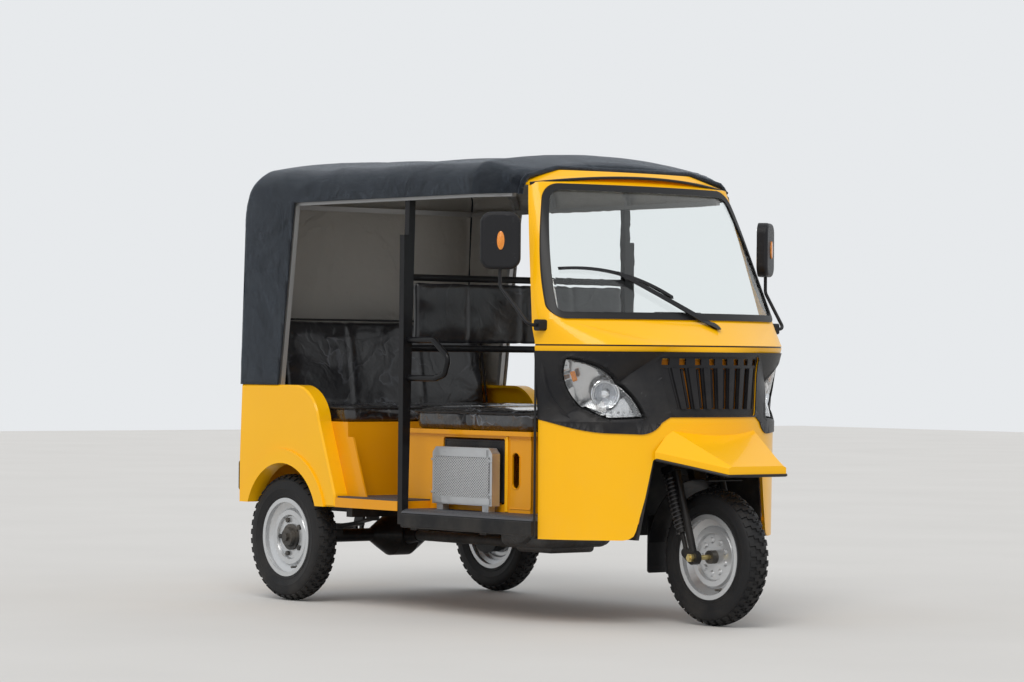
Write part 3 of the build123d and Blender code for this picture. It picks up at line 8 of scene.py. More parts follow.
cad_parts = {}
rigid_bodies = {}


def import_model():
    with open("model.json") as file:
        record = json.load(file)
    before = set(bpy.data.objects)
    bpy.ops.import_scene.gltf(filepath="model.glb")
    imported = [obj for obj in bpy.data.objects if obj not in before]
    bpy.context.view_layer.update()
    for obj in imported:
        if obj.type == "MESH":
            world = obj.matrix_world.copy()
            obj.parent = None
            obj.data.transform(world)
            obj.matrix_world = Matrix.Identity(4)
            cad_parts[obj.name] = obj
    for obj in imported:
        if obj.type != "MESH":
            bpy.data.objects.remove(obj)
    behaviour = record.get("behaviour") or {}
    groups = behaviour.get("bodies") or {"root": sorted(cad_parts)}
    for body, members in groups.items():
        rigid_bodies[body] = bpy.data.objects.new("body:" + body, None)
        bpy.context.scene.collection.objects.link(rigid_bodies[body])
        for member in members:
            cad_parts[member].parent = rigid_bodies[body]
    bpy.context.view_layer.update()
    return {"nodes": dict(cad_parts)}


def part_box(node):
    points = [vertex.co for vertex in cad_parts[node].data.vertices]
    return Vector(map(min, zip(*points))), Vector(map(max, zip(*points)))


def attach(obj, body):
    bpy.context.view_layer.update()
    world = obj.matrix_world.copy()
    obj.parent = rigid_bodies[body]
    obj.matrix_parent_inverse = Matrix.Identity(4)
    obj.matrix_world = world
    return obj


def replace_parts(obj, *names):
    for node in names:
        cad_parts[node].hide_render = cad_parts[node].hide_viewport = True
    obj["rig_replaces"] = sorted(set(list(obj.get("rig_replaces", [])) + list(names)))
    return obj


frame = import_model()
nodes = frame["nodes"]

# ------------------------------------------------------------------ the yard and the camera
# A pale level floor under an even overcast sky, with one soft high lamp for the shadow under the vehicle.
# The camera stands about 14 m off the right front corner, a metre above the ground, with a long lens.


def begin(name, add, **settings):
    """A new object from one of Blender's own, named and the only one selected."""
    bpy.ops.object.select_all(action="DESELECT")
    add(**settings)
    piece = bpy.context.object
    piece.name = name
    return piece


ground = begin("floor", bpy.ops.mesh.primitive_plane_add, size=60, location=(0, 0, 0))


def place(tree, kind, links=(), **settings):
    """One shader node: its own settings, and the values or other nodes' outputs that go into its sockets."""
    node = tree.nodes.new("ShaderNode" + kind)
    for name, value in settings.items():
        setattr(node, name, value)
    for socket, value in links:
        if isinstance(value, bpy.types.NodeSocket):
            tree.links.new(value, node.inputs[socket])
        else:
            node.inputs[socket].default_value = value
    return node


def reckon(tree, operation, *values, **settings):
    """One step of arithmetic on numbers or other nodes' outputs."""
    return place(tree, "Math", list(enumerate(values)), operation=operation, **settings).outputs[0]


def pattern(tree, kind, scale, result="Fac", settings=(), **sockets):
    """A texture over the object's own position; gives the output asked for."""
    here = place(tree, "TexCoord").outputs["Object"]
    links = [("Vector", here), ("Scale", scale), *sockets.items()]
    return place(tree, kind, links, **dict(settings)).outputs[result]


def start_finish(name, colour, roughness, **sockets):
    """A new material with its plain values on the shader's own sockets; gives it with its node tree and shader."""
    material = bpy.data.materials.new(name)
    material.use_nodes = True
    tree = material.node_tree
    shader = tree.nodes["Principled BSDF"]
    shader.inputs["Base Color"].default_value = (*colour, 1)
    shader.inputs["Roughness"].default_value = roughness
    for socket, value in sockets.items():
        shader.inputs[socket.replace("_", " ")].default_value = value
    return material, tree, shader


concrete, tree, shader = start_finish("concrete", (0.60, 0.585, 0.565), 0.9)
patches = pattern(tree, "TexNoise", 0.8, Detail=8)
shades = place(tree, "Mix", [("Factor", patches), ("A", (0.57, 0.555, 0.535, 1)), ("B", (0.64, 0.625, 0.605, 1))],
               data_type="RGBA")
tree.links.new(shades.outputs["Result"], shader.inputs["Base Color"])
ground.data.materials.append(concrete)

sky = bpy.data.worlds.new("overcast_sky")
bpy.context.scene.world = sky
sky.use_nodes = True
tree = sky.node_tree
lit_sky = tree.nodes["Background"]
lit_sky.inputs["Color"].default_value = (0.94, 0.97, 1.0, 1)
lit_sky.inputs["Strength"].default_value = 0.80
seen_sky = place(tree, "Background", [("Color", (0.80, 0.82, 0.84, 1)), ("Strength", 1.0)])
rays = place(tree, "LightPath").outputs
seen = reckon(tree, "MAXIMUM", rays["Is Camera Ray"], rays["Is Transmission Ray"])
seen = reckon(tree, "MAXIMUM", seen, rays["Is Glossy Ray"])
either = place(tree, "MixShader", [(0, seen), (1, lit_sky.outputs[0]), (2, seen_sky.outputs[0])])
tree.links.new(either.outputs[0], tree.nodes["World Output"].inputs["Surface"])

high_lamp = begin("high_lamp", bpy.ops.object.light_add, type="SUN",
                  rotation=(radians(38), radians(-24), radians(-20)))
high_lamp.data.energy = 1.5
high_lamp.data.angle = radians(35)
high_lamp.data.color = (1.0, 0.97, 0.93)

bpy.ops.object.camera_add(location=(-9.1537, -11.1346, 1.0267))
camera = bpy.context.object
swing, rise, lean = radians(-38.876), radians(-0.306), radians(0.5015)
back = Vector((sin(swing) * cos(rise), -cos(swing) * cos(rise), sin(rise)))
level = Vector((0, 0, 1)).cross(back).normalized()
up = back.cross(level)
across = level * cos(lean) + up * sin(lean)
upward = up * cos(lean) - level * sin(lean)
camera.matrix_world = Matrix.Translation(camera.location) @ Matrix((across, upward, back)).transposed().to_4x4()
camera.data.lens = 122.99
camera.data.sensor_width = 36
camera.data.clip_end = 200
bpy.context.scene.camera = camera
bpy.context.scene.view_settings.view_transform = "Standard"

# ------------------------------------------------------------------ chassis rails, steps, axle tube and bearers
# Welded square tube and pressed plate, sprayed black after welding. The paint is thin, with brush marks
# of road dust low down, and it rubs through to dull steel where boots and spanners touch it.


def spread(tree, value, low, high, at_low=0.0, at_high=1.0):
    """The values from low to high laid out between at_low and at_high, and held there beyond them."""
    return place(tree, "MapRange", [("Value", value), ("From Min", low), ("From Max", high), ("To Min", at_low),
                                    ("To Max", at_high)]).outputs[0]


def new_effect(name, values, results):
    """An empty node group with number inputs and outputs; gives it with its two ends and the object's own position."""
    group = bpy.data.node_groups.new(name, "ShaderNodeTree")
    for label, usual in values:
        group.interface.new_socket(name=label, in_out="INPUT", socket_type="NodeSocketFloat").default_value = usual
    for label in results:
        group.interface.new_socket(name=label, in_out="OUTPUT", socket_type="NodeSocketFloat")
    entry = group.nodes.new("NodeGroupInput").outputs
    leave = group.nodes.new("NodeGroupOutput").inputs
    return group, entry, leave, place(group, "TexCoord").outputs["Object"]


# dust that settles low on the vehicle and in patches
settled_dust, entry, leave, here = new_effect("settled_dust", [("Amount", 0.5), ("Reach", 0.7)], ["Mask"])
height = place(settled_dust, "SeparateXYZ", [(0, here)]).outputs["Z"]
low = spread(settled_dust, height, 0.05, entry["Reach"], 1.0, 0.0)
cloud = place(settled_dust, "TexNoise", [("Vector", here), ("Scale", 7.0), ("Detail", 9), ("Roughness", 0.62)])
patch = spread(settled_dust, cloud.outputs["Fac"], 0.42, 0.68)
both = reckon(settled_dust, "MULTIPLY", low, patch)
mask = reckon(settled_dust, "MULTIPLY", both, entry["Amount"], use_clamp=True)
settled_dust.links.new(mask, leave["Mask"])

# thin marks and scuffs that run along the vehicle
scuffs, entry, leave, here = new_effect("scuffs", [("Size", 30.0), ("Amount", 0.5)], ["Mask"])
drawn_out = place(scuffs, "Mapping", [("Vector", here), ("Scale", (1.0, 0.22, 1.6))]).outputs[0]
streak = place(scuffs, "TexNoise", [("Vector", drawn_out), ("Scale", entry["Size"]), ("Detail", 7), ("Roughness", 0.7)])
sharp = spread(scuffs, streak.outputs["Fac"], 0.64, 0.72)
mask = reckon(scuffs, "MULTIPLY", sharp, entry["Amount"], use_clamp=True)
scuffs.links.new(mask, leave["Mask"])

# the slow waves and fine pimples of sprayed paint over sheet steel
spray_coat, entry, leave, here = new_effect("spray_coat", [("Waves", 3.0), ("Pimples", 420.0)], ["Height"])
slow = place(spray_coat, "TexNoise", [("Vector", here), ("Scale", entry["Waves"]), ("Detail", 1)]).outputs["Fac"]
fine = place(spray_coat, "TexNoise", [("Vector", here), ("Scale", entry["Pimples"]), ("Detail", 2)]).outputs["Fac"]
faint = reckon(spray_coat, "MULTIPLY", fine, 0.03)
total = reckon(spray_coat, "ADD", slow, faint)
spray_coat.links.new(total, leave["Height"])


def put_effect(tree, group, result, **values):
    """One of the effects above in a material, with its own values; gives the output asked for."""
    node = tree.nodes.new("ShaderNodeGroup")
    node.node_tree = group
    for socket, value in values.items():
        node.inputs[socket].default_value = value
    return node.outputs[result]


def lay_over(tree, shader, mask, colour, socket="Base Color"):
    """Lays a colour, or a roughness value, over what the shader's socket already has, where the mask says."""
    target = shader.inputs[socket]
    is_colour = socket == "Base Color"
    under = target.links[0].from_socket if target.is_linked else (
        tuple(target.default_value) if is_colour else target.default_value)
    over = (*colour, 1) if is_colour else colour
    kind = "RGBA" if is_colour else "FLOAT"
    mix = tree.nodes.new("ShaderNodeMix")
    mix.data_type = kind
    ends = [s for s in mix.inputs if s.type == ("RGBA" if is_colour else "VALUE") and s.name in "AB"]
    tree.links.new(mask, mix.inputs["Factor"])
    if isinstance(under, bpy.types.NodeSocket):
        tree.links.new(under, ends[0])
    else:
        ends[0].default_value = under
    ends[1].default_value = over
    result = [s for s in mix.outputs if s.type == ("RGBA" if is_colour else "VALUE")][0]
    tree.links.new(result, target)


def emboss(tree, shader, height, depth):
    """Raises the surface by a height pattern, depth in metres, over any relief it already has."""
    bump = place(tree, "Bump", [("Height", height), ("Strength", 1.0), ("Distance", depth)])
    target = shader.inputs["Normal"]
    if target.is_linked:
        tree.links.new(target.links[0].from_socket, bump.inputs["Normal"])
    tree.links.new(bump.outputs[0], target)


def cover(material, *names):
    """Gives frame nodes a finish in place of their plain one."""
    for name in names:
        for holder in nodes[name].material_slots:
            holder.material = material


DUST = (0.36, 0.31, 0.25)


def scuffed(tree, shader, size, amount, colour, socket="Base Color"):
    """Scuffs over a finish, in a colour or a roughness of their own."""
    lay_over(tree, shader, put_effect(tree, scuffs, "Mask", Size=size, Amount=amount), colour, socket)


def dusted(tree, shader, amount, reach, colour=DUST, socket="Base Color"):
    """Dust over a finish, up to a height of reach metres."""
    lay_over(tree, shader, put_effect(tree, settled_dust, "Mask", Amount=amount, Reach=reach), colour, socket)


def sprayed(tree, shader, waves, pimples, depth):
    """The relief of a sprayed or cast surface."""
    emboss(tree, shader, put_effect(tree, spray_coat, "Height", Waves=waves, Pimples=pimples), depth)


def make_finish(name, colour, roughness, *layers, **sockets):
    """A material with its layers over it, from the first down: each is one of the three above and its values."""
    material, tree, shader = start_finish(name, colour, roughness, **sockets)
    for add, *values in layers:
        add(tree, shader, *values)
    return material


chassis_paint = make_finish("chassis_paint", (0.007, 0.007, 0.008), 0.34, (scuffed, 26, 0.3, (0.05, 0.049, 0.047)),
                            (dusted, 0.14, 0.6), (dusted, 0.7, 0.7, 0.65, "Roughness"), (sprayed, 14, 600, 0.0012),
                            Specular_IOR_Level=0.14, Coat_Weight=0.12, Coat_Roughness=0.1)
cover(chassis_paint, "chassis_frame", "side_steps", "rear_axle", "partition_frame", "grab_handles", "handlebar",
      "front_fork", "front_mudguard")

# ------------------------------------------------------------------ springs, shaft, silencer and engine
# The leaves, the shaft and the silencer are plain forged or rolled steel under a thin black wash, so rust
# shows in specks. The engine's cast aluminium case is dull and greasy, with dust baked on.
spring_steel = make_finish("spring_steel", (0.035, 0.034, 0.034), 0.5, (scuffed, 60, 0.7, (0.12, 0.055, 0.025)),
                           (dusted, 0.2, 0.6), (sprayed, 60, 900, 0.002), Metallic=0.35)
cover(spring_steel, "leaf_springs", "drive_shaft", "muffler")

cast_case = make_finish("cast_case", (0.10, 0.10, 0.10), 0.55, (dusted, 0.9, 0.9, (0.05, 0.043, 0.036)),
                        (sprayed, 90, 700, 0.003), Metallic=0.5)

# ------------------------------------------------------------------ wheels
# Two-piece pressed steel rims in silver enamel, each bolted to its hub and holding a cross-ply tyre with
# block tread. The tread's blocks stand on a moulded carcass, worn grey where they touch the road.
TYRE_R, TREAD_DEPTH = 0.2675, 0.0065
FRONT_WHEEL = Vector((0, -1.05375, TYRE_R))
REAR_WHEELS = {"rear_left": Vector((0.555, 0.99625, TYRE_R)), "rear_right": Vector((-0.555, 0.99625, TYRE_R))}


def settle():
    """Puts the active piece's place, turn and size into its mesh."""
    bpy.ops.object.transform_apply(location=True, rotation=True, scale=True)


def edit_all():
    """Edit mode with everything selected."""
    bpy.ops.object.mode_set(mode="EDIT")
    bpy.ops.mesh.select_all(action="SELECT")


def face_outward():
    """Turns every face of the piece in edit mode outward."""
    bpy.ops.mesh.select_all(action="SELECT")
    bpy.ops.mesh.normals_make_consistent(inside=False)


def take(piece):
    """Makes a piece the only selected and active one."""
    bpy.ops.object.select_all(action="DESELECT")
    piece.select_set(True)
    bpy.context.view_layer.objects.active = piece


def apply_modifier(piece, name, kind, **settings):
    """Adds a modifier with its settings and puts its result into the mesh."""
    modifier = piece.modifiers.new(name, kind)
    for setting, value in settings.items():
        setattr(modifier, setting, value)
    take(piece)
    bpy.ops.object.modifier_apply(modifier=name)


def select_where(piece, kind, test):
    """In edit mode, selects the faces, edges or corners that pass a test, and nothing else."""
    mesh = bmesh.from_edit_mesh(piece.data)
    bpy.ops.mesh.select_mode(type={"faces": "FACE", "edges": "EDGE", "verts": "VERT"}[kind])
    bpy.ops.mesh.select_all(action="DESELECT")
    for part in getattr(mesh, kind):
        if test(part):
            part.select_set(True)
    mesh.select_flush_mode()
    bmesh.update_edit_mesh(piece.data)


def hand_over(piece, material, body, angle=35, placing=None):
    """Leaves edit mode, smooths the piece, gives it its finish and body, and moves its mesh into place."""
    if bpy.context.mode == "EDIT_MESH":
        bpy.ops.object.mode_set(mode="OBJECT")
    take(piece)
    settle()
    if angle:
        bpy.ops.object.shade_smooth_by_angle(angle=radians(angle))
    piece.data.materials.clear()
    piece.data.materials.append(material)
    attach(piece, body)
    if placing is not None:
        piece.data.transform(placing)
    return piece


def copy_piece(piece, name, placing, body):
    """A copy with its own mesh, put in place by a matrix; a mirrored one is turned right side out."""
    twin = piece.copy()
    twin.data = piece.data.copy()
    twin.name = name
    bpy.context.scene.collection.objects.link(twin)
    twin.parent = None
    twin.matrix_world = Matrix.Identity(4)
    twin.data.transform(placing)
    if placing.determinant() < 0:
        twin.data.flip_normals()
    if "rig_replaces" in twin:
        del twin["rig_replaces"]
    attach(twin, body)
    return twin


def turn(name, outline, centre, steps):
    """Spins a closed outline, in (along the axle, radius), once round an axle that runs across the vehicle."""
    piece = begin(name, bpy.ops.mesh.primitive_circle_add, vertices=len(outline), radius=0.1)
    for corner, (along, radius) in zip(piece.data.vertices, outline):
        corner.co = centre + Vector((along, 0, radius))
    edit_all()
    bpy.ops.mesh.spin(steps=steps, angle=2 * pi, center=centre, axis=(1, 0, 0))
    bpy.ops.mesh.select_all(action="SELECT")
    bpy.ops.mesh.remove_doubles(threshold=0.00001)
    bpy.ops.mesh.dissolve_degenerate(threshold=0.00001)
    face_outward()
    return piece


tyre_rubber, tree, shader = start_finish("tyre_rubber", (0.009, 0.009, 0.010), 0.62, Specular_IOR_Level=0.3)
here = place(tree, "TexCoord").outputs["Object"]
scuffed(tree, shader, 18, 0.4, (0.024, 0.023, 0.022))
dusted(tree, shader, 0.05, 0.5)
grit = place(tree, "TexNoise", [("Vector", here), ("Scale", 320.0), ("Detail", 4)]).outputs["Fac"]
emboss(tree, shader, grit, 0.0008)

# half of the outline from the bead outward, in (along the axle, radius); the other half mirrors it
SIDEWALL = [(0.0385, 0.1535), (0.0385, 0.166), (0.0415, 0.172), (0.0440, 0.1765), (0.0428, 0.179), (0.0465, 0.190),
            (0.0500, 0.202), (0.0513, 0.205), (0.0506, 0.208), (0.0512, 0.216), (0.0500, 0.228), (0.0478, 0.237),
            (0.0435, 0.2440)]
TREAD_EDGES = (0.0435, 0.0260, 0.0090, -0.0090, -0.0260, -0.0435)
CROWN = {0.0435: 0.2440, 0.0260: 0.2560, 0.0090: 0.2605}
outline = SIDEWALL + [(x, CROWN[abs(x)]) for x in TREAD_EDGES[1:-1]] + [(-x, r) for x, r in reversed(SIDEWALL)]
PITCHES = 40
STEPS = PITCHES * 3
front_tyre = turn("front_tyre_tread", outline, FRONT_WHEEL, STEPS)


def is_block(face):
    """Whether a face of the tread stands as a block: each row has a groove every third step, set off by row."""
    middle = face.calc_center_median() - FRONT_WHEEL
    radius = (middle.y ** 2 + middle.z ** 2) ** 0.5
    if radius < 0.2438 or abs(middle.x) > 0.0435:
        return False
    step = floor(atan2(middle.y, middle.z) / (2 * pi) * STEPS + 0.001)
    row = sum(middle.x < edge for edge in TREAD_EDGES)
    return (step + (0, 0, 1, 2, 1, 0)[row]) % 3 != 0


select_where(front_tyre, "faces", is_block)
bpy.ops.mesh.inset(thickness=0.0016, use_boundary=True)
bpy.ops.mesh.extrude_region_shrink_fatten(TRANSFORM_OT_shrink_fatten={"value": TREAD_DEPTH})
bpy.ops.object.mode_set(mode="OBJECT")
for corner in front_tyre.data.vertices:
    away = corner.co - FRONT_WHEEL
    reach = (away.y ** 2 + away.z ** 2) ** 0.5
    if reach > TYRE_R:
        corner.co = FRONT_WHEEL + Vector((away.x, away.y * TYRE_R / reach, away.z * TYRE_R / reach))
hand_over(front_tyre, tyre_rubber, "front_wheel", angle=28)
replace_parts(front_tyre, "front_tyre")
for label, middle in REAR_WHEELS.items():
    tyre = copy_piece(front_tyre, f"{label}_tyre_tread", Matrix.Translation(middle - FRONT_WHEEL), f"{label}_wheel")
    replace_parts(tyre, f"{label}_tyre")

rim_enamel = make_finish("rim_enamel", (0.56, 0.57, 0.58), 0.27, (scuffed, 40, 0.35, (0.30, 0.29, 0.28)),
                         (dusted, 0.10, 0.6, (0.42, 0.39, 0.35)), (sprayed, 30, 700, 0.0010), Metallic=0.6)
cover(rim_enamel, "front_rim", "rear_left_rim", "rear_right_rim")

hub_steel = make_finish("hub_steel", (0.045, 0.044, 0.043), 0.45, (scuffed, 70, 0.8, (0.30, 0.26, 0.20)),
                        (dusted, 0.5, 0.6), (sprayed, 80, 600, 0.0015), Metallic=0.6)
cover(hub_steel, "rear_left_hub", "rear_right_hub", "front_hub")

zinc = make_finish("yellow_zinc", (0.62, 0.50, 0.22), 0.34, (scuffed, 90, 0.8, (0.30, 0.30, 0.31)),
                   (sprayed, 120, 900, 0.0006), Metallic=0.9)
cover(zinc, "front_axle")

# valve stems: a rubber stem with a brass end and a screwed cap, standing out of the rim near its edge
VALVE = [(0.0, 0.0), (0.0, 0.0065), (-0.004, 0.0068), (-0.008, 0.0050), (-0.020, 0.0042), (-0.021, 0.0048),
         (-0.030, 0.0048), (-0.031, 0.0036), (-0.031, 0.0)]
stem_rubber = make_finish("stem_rubber", (0.03, 0.03, 0.03), 0.55, (sprayed, 300, 900, 0.0004), (dusted, 0.5, 0.6))
front_valve = turn("front_valve", VALVE, FRONT_WHEEL + Vector((-0.012, -0.045, -0.125)), 14)
hand_over(front_valve, stem_rubber, "front_wheel")
for label, middle in REAR_WHEELS.items():
    placing = Matrix.Translation(middle - FRONT_WHEEL)
    if label == "rear_left":
        placing = Matrix.Translation(middle) @ Matrix.Scale(-1, 4, (1, 0, 0)) @ Matrix.Translation(-FRONT_WHEEL)
    copy_piece(front_valve, f"{label}_valve", placing, f"{label}_wheel")

# ------------------------------------------------------------------ front fork springs
# A black coil spring is wound round each damper, seated between a welded collar below and the crown above.
# The wire is nearly 8 mm thick.
COIL_R, WIRE_R, COIL_TURNS = 0.0235, 0.0038, 13
fork_foot = Vector((-0.112, -1.00875, 0.2855))
fork_top = Vector((-0.112, -0.90261, 0.597))
rod = fork_top - fork_foot
coil_low, coil_high = fork_foot + rod * 0.29, fork_foot + rod * 0.945
coil = begin("fork_coil_right", bpy.ops.mesh.primitive_circle_add, vertices=8, radius=WIRE_R, location=(COIL_R, 0, 0),
             rotation=(pi / 2, 0, 0))
settle()
apply_modifier(coil, "winding", "SCREW", steps=18, render_steps=18, iterations=COIL_TURNS, angle=2 * pi,
               screw_offset=(coil_high - coil_low).length / COIL_TURNS, use_normal_calculate=True)
turned = rod.to_track_quat("Z", "Y").to_matrix().to_4x4()
coil.data.transform(Matrix.Translation(coil_low) @ turned)
edit_all()
bpy.ops.mesh.remove_doubles(threshold=0.00001)
select_where(coil, "edges", lambda edge: edge.is_boundary)
bpy.ops.mesh.edge_face_add()
face_outward()
coil_paint = make_finish("coil_paint", (0.022, 0.022, 0.025), 0.32, (scuffed, 60, 0.7, (0.10, 0.095, 0.09)),
                         (dusted, 0.1, 0.6), Coat_Weight=0.5, Coat_Roughness=0.15)
hand_over(coil, coil_paint, "steering")
copy_piece(coil, "fork_coil_left", Matrix.Translation((0.224, 0, 0)), "steering")

# ------------------------------------------------------------------ handlebar grips, levers and switch boxes
# Ribbed rubber grips are pushed onto the bar's ends. Inboard of each is a moulded switch box, and a cast
# lever stands ahead of the grip.


def extrude(by):
    """Extrudes what is selected in edit mode."""
    bpy.ops.mesh.extrude_region_move(TRANSFORM_OT_translate={"value": by})


BAR_MIDDLE = Vector((0, -0.80263, 1.0))
grip_outline = [(0.0, 0.0), (0.0, 0.0215), (0.004, 0.0225)]
for rib in range(14):
    grip_outline += [(0.007 + rib * 0.0072, 0.0188), (0.010 + rib * 0.0072, 0.0188), (0.0112 + rib * 0.0072, 0.0176)]
grip_outline += [(0.112, 0.0186), (0.115, 0.0170), (0.115, 0.0)]
bar_heading = Vector((-1, 0.4, 0.02)).normalized()
bar_start = Vector((-0.050, BAR_MIDDLE.y + 0.008, 1.022))
along_bar = bar_heading.to_track_quat("X", "Z").to_matrix().to_4x4()
grip = turn("grip_right", grip_outline, Vector((0, 0, 0)), 20)
hand_over(grip, tyre_rubber, "steering",
          placing=Matrix.Translation(bar_start + bar_heading * 0.174) @ along_bar)
SIDE_TO_SIDE = Matrix.Scale(-1, 4, (1, 0, 0))
copy_piece(grip, "grip_left", SIDE_TO_SIDE, "steering")

switch_box = begin("switch_box_right", bpy.ops.mesh.primitive_cube_add, size=1, location=(0, 0, 0),
                   scale=(0.034, 0.052, 0.050))
settle()
edit_all()
bpy.ops.mesh.bevel(offset=0.009, segments=4, affect="EDGES")
select_where(switch_box, "faces", lambda face: face.normal.y > 0.98)
bpy.ops.mesh.inset(thickness=0.007)
extrude((0, 0.006, 0))
bpy.ops.mesh.inset(thickness=0.003)
extrude((0, -0.003, 0))
moulded_black, tree, shader = start_finish("moulded_black", (0.010, 0.010, 0.012), 0.40, Specular_IOR_Level=0.24)
pebble = pattern(tree, "TexVoronoi", 900.0, "Distance", settings={"feature": "SMOOTH_F1"})
emboss(tree, shader, pebble, 0.0005)
sprayed(tree, shader, 4, 300, 0.003)
scuffed(tree, shader, 35, 0.4, (0.085, 0.085, 0.088))
dusted(tree, shader, 0.25, 1.2, (0.20, 0.18, 0.15))
hand_over(switch_box, moulded_black, "steering",
          placing=Matrix.Translation(bar_start + bar_heading * 0.155) @ along_bar)
copy_piece(switch_box, "switch_box_left", SIDE_TO_SIDE, "steering")

# columns: how far along the bar, how far ahead of it, half height there
LEVER = ((0.120, 0.016, 0.009), (0.140, 0.034, 0.008), (0.170, 0.046, 0.0065), (0.225, 0.040, 0.0060),
         (0.276, 0.046, 0.0075))
LEVER_SIDES, LEVER_R = 10, 0.006
lever = begin("brake_lever", bpy.ops.mesh.primitive_circle_add, vertices=LEVER_SIDES, radius=LEVER_R)
bpy.ops.object.mode_set(mode="EDIT")
bpy.ops.mesh.select_mode(type="VERT")
bpy.ops.mesh.select_all(action="SELECT")
for _ in LEVER[1:]:
    extrude((0, 0, 0.01))
bpy.ops.object.mode_set(mode="OBJECT")
rings = sorted(lever.data.vertices, key=lambda corner: round(corner.co.z, 4))
for ring, (far, ahead, half) in enumerate(LEVER):
    for corner in rings[ring * LEVER_SIDES:(ring + 1) * LEVER_SIDES]:
        x, y = corner.co.x, corner.co.y
        corner.co = (far, -ahead + y * 0.7, x / LEVER_R * half)
bpy.ops.object.mode_set(mode="EDIT")
select_where(lever, "edges", lambda edge: edge.is_boundary)
bpy.ops.mesh.edge_face_add()
face_outward()
bpy.ops.object.mode_set(mode="OBJECT")
apply_modifier(lever, "rounding", "SUBSURF", levels=2, render_levels=2)
lever_alloy = make_finish("lever_alloy", (0.05, 0.05, 0.052), 0.35, (scuffed, 80, 0.8, (0.30, 0.30, 0.30)),
                          (sprayed, 60, 900, 0.0006), Metallic=0.4)
hand_over(lever, lever_alloy, "steering", placing=Matrix.Translation(bar_start) @ along_bar)
copy_piece(lever, "clutch_lever", SIDE_TO_SIDE, "steering")

# ------------------------------------------------------------------ floors and mats
# The floors are pressed sheet in the body colour. Grey ribbed rubber mats are glued down on both levels and
# rolled over the edge beams; shoes have polished their ribs.
mat_rubber, tree, shader = start_finish("mat_rubber", (0.060, 0.062, 0.070), 0.5)
ribs = pattern(tree, "TexWave", 48.0, settings={"bands_direction": "Y"}, Distortion=0.0)
emboss(tree, shader, ribs, 0.0014)
scuffed(tree, shader, 12, 0.6, (0.15, 0.15, 0.16))
sprayed(tree, shader, 7, 200, 0.004)
cover(mat_rubber, "floor_mat")

# ------------------------------------------------------------------ yellow bodywork
# Nose, cab, quarters, floors and seat boxes are pressed steel, spot-welded and sprayed one chrome yellow. The
# enamel is glossy with a faint orange peel. The floors and seat boxes take a deeper orange copy of it: painted shade
# for where panels face each other.
yellow_enamel, tree, shader = start_finish("yellow_enamel", (0.96, 0.50, 0.001), 0.36, Specular_IOR_Level=0.15,
                                           Coat_Weight=0.35, Coat_Roughness=0.06)
drift = pattern(tree, "TexNoise", 2.2, Detail=3)
lay_over(tree, shader, drift, (0.90, 0.44, 0.002))
dusted(tree, shader, 0.08, 0.8, (0.60, 0.42, 0.20))
scuffed(tree, shader, 22, 0.5, 0.42, "Roughness")
sprayed(tree, shader, 3.4, 330, 0.0035)
cover(yellow_enamel, "nose_panel", "cab_frame", "front_visor", "rear_quarter_left", "rear_quarter_right",
      "rear_panel")
# A deeper orange copy of the enamel for the floors, seat boxes and their swaged lines: painted shade where panels face
# each other.
shaded_inner_enamel, tree, shader = start_finish("shaded_inner_enamel", (0.80, 0.34, 0.001), 0.38, Specular_IOR_Level=0.15,
                                          Coat_Weight=0.3, Coat_Roughness=0.08)
drift = pattern(tree, "TexNoise", 2.6, Detail=3)
lay_over(tree, shader, drift, (0.72, 0.28, 0.001))
dusted(tree, shader, 0.10, 0.9, (0.50, 0.34, 0.16))
sprayed(tree, shader, 3.4, 330, 0.0035)
cover(shaded_inner_enamel, "floor_pan", "passenger_floor", "driver_seat_box", "bench_base")
cover(moulded_black, "grille", "dashboard", "wheel_house", "belt_strip", "mirror_left", "mirror_right", "wiper")

# ------------------------------------------------------------------ black band with its crescents
# The band round the nose is one thick moulding, screwed on from behind. Its skin is smooth, and at each outer end
# a crescent is raised on it, sharp along its inner side and fading away along the outer one.
# columns: y, z of the sharp side, y, z of the fading side, and how far the sharp side stands up
CRESCENT = (
    (-0.7100, 1.0200, -0.7040, 1.0200, 0.0004),
    (-0.7165, 0.9930, -0.6985, 0.9930, 0.0050),
    (-0.7196, 0.9688, -0.6926, 0.9685, 0.0080),
    (-0.7220, 0.9420, -0.6935, 0.9420, 0.0090),
    (-0.7268, 0.9150, -0.6986, 0.9154, 0.0090),
    (-0.7350, 0.8910, -0.7080, 0.8910, 0.0080),
    (-0.7459, 0.8690, -0.7194, 0.8686, 0.0065),
    (-0.7697, 0.8308, -0.7516, 0.8305, 0.0040),
    (-0.8011, 0.8005, -0.8000, 0.8005, 0.0004),
)
SIDES = ((-1, "right"), (1, "left"))
# across a crescent: share of its width, share of its lift
CREST = ((-0.16, 0.0), (-0.05, 0.75), (0.0, 1.0), (0.10, 0.86), (0.35, 0.50), (0.65, 0.18), (1.0, 0.0))


def open_copy(node_name, name):
    """A copy of a frame node's shape as a piece of its own, welded and left in edit mode."""
    piece = nodes[node_name].copy()
    piece.data = nodes[node_name].data.copy()
    piece.name = name
    for key in list(piece.keys()):
        del piece[key]
    bpy.context.scene.collection.objects.link(piece)
    piece.parent = None
    take(piece)
    edit_all()
    bpy.ops.mesh.remove_doubles(threshold=0.00002)
    return piece


band = open_copy("fascia_band", "nose_band")
hand_over(band, moulded_black, "chassis", angle=18)
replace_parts(band, "fascia_band")


def on_band(y, z):
    """The place on the right side of the band's skin, and its outward direction."""
    found, at, outward, _ = band.ray_cast(Vector((-1.2, y, z)), Vector((1, 0, 0)))
    return (at, outward) if found else (Vector((-0.5279, y, z)), Vector((-0.8, -0.6, 0)))


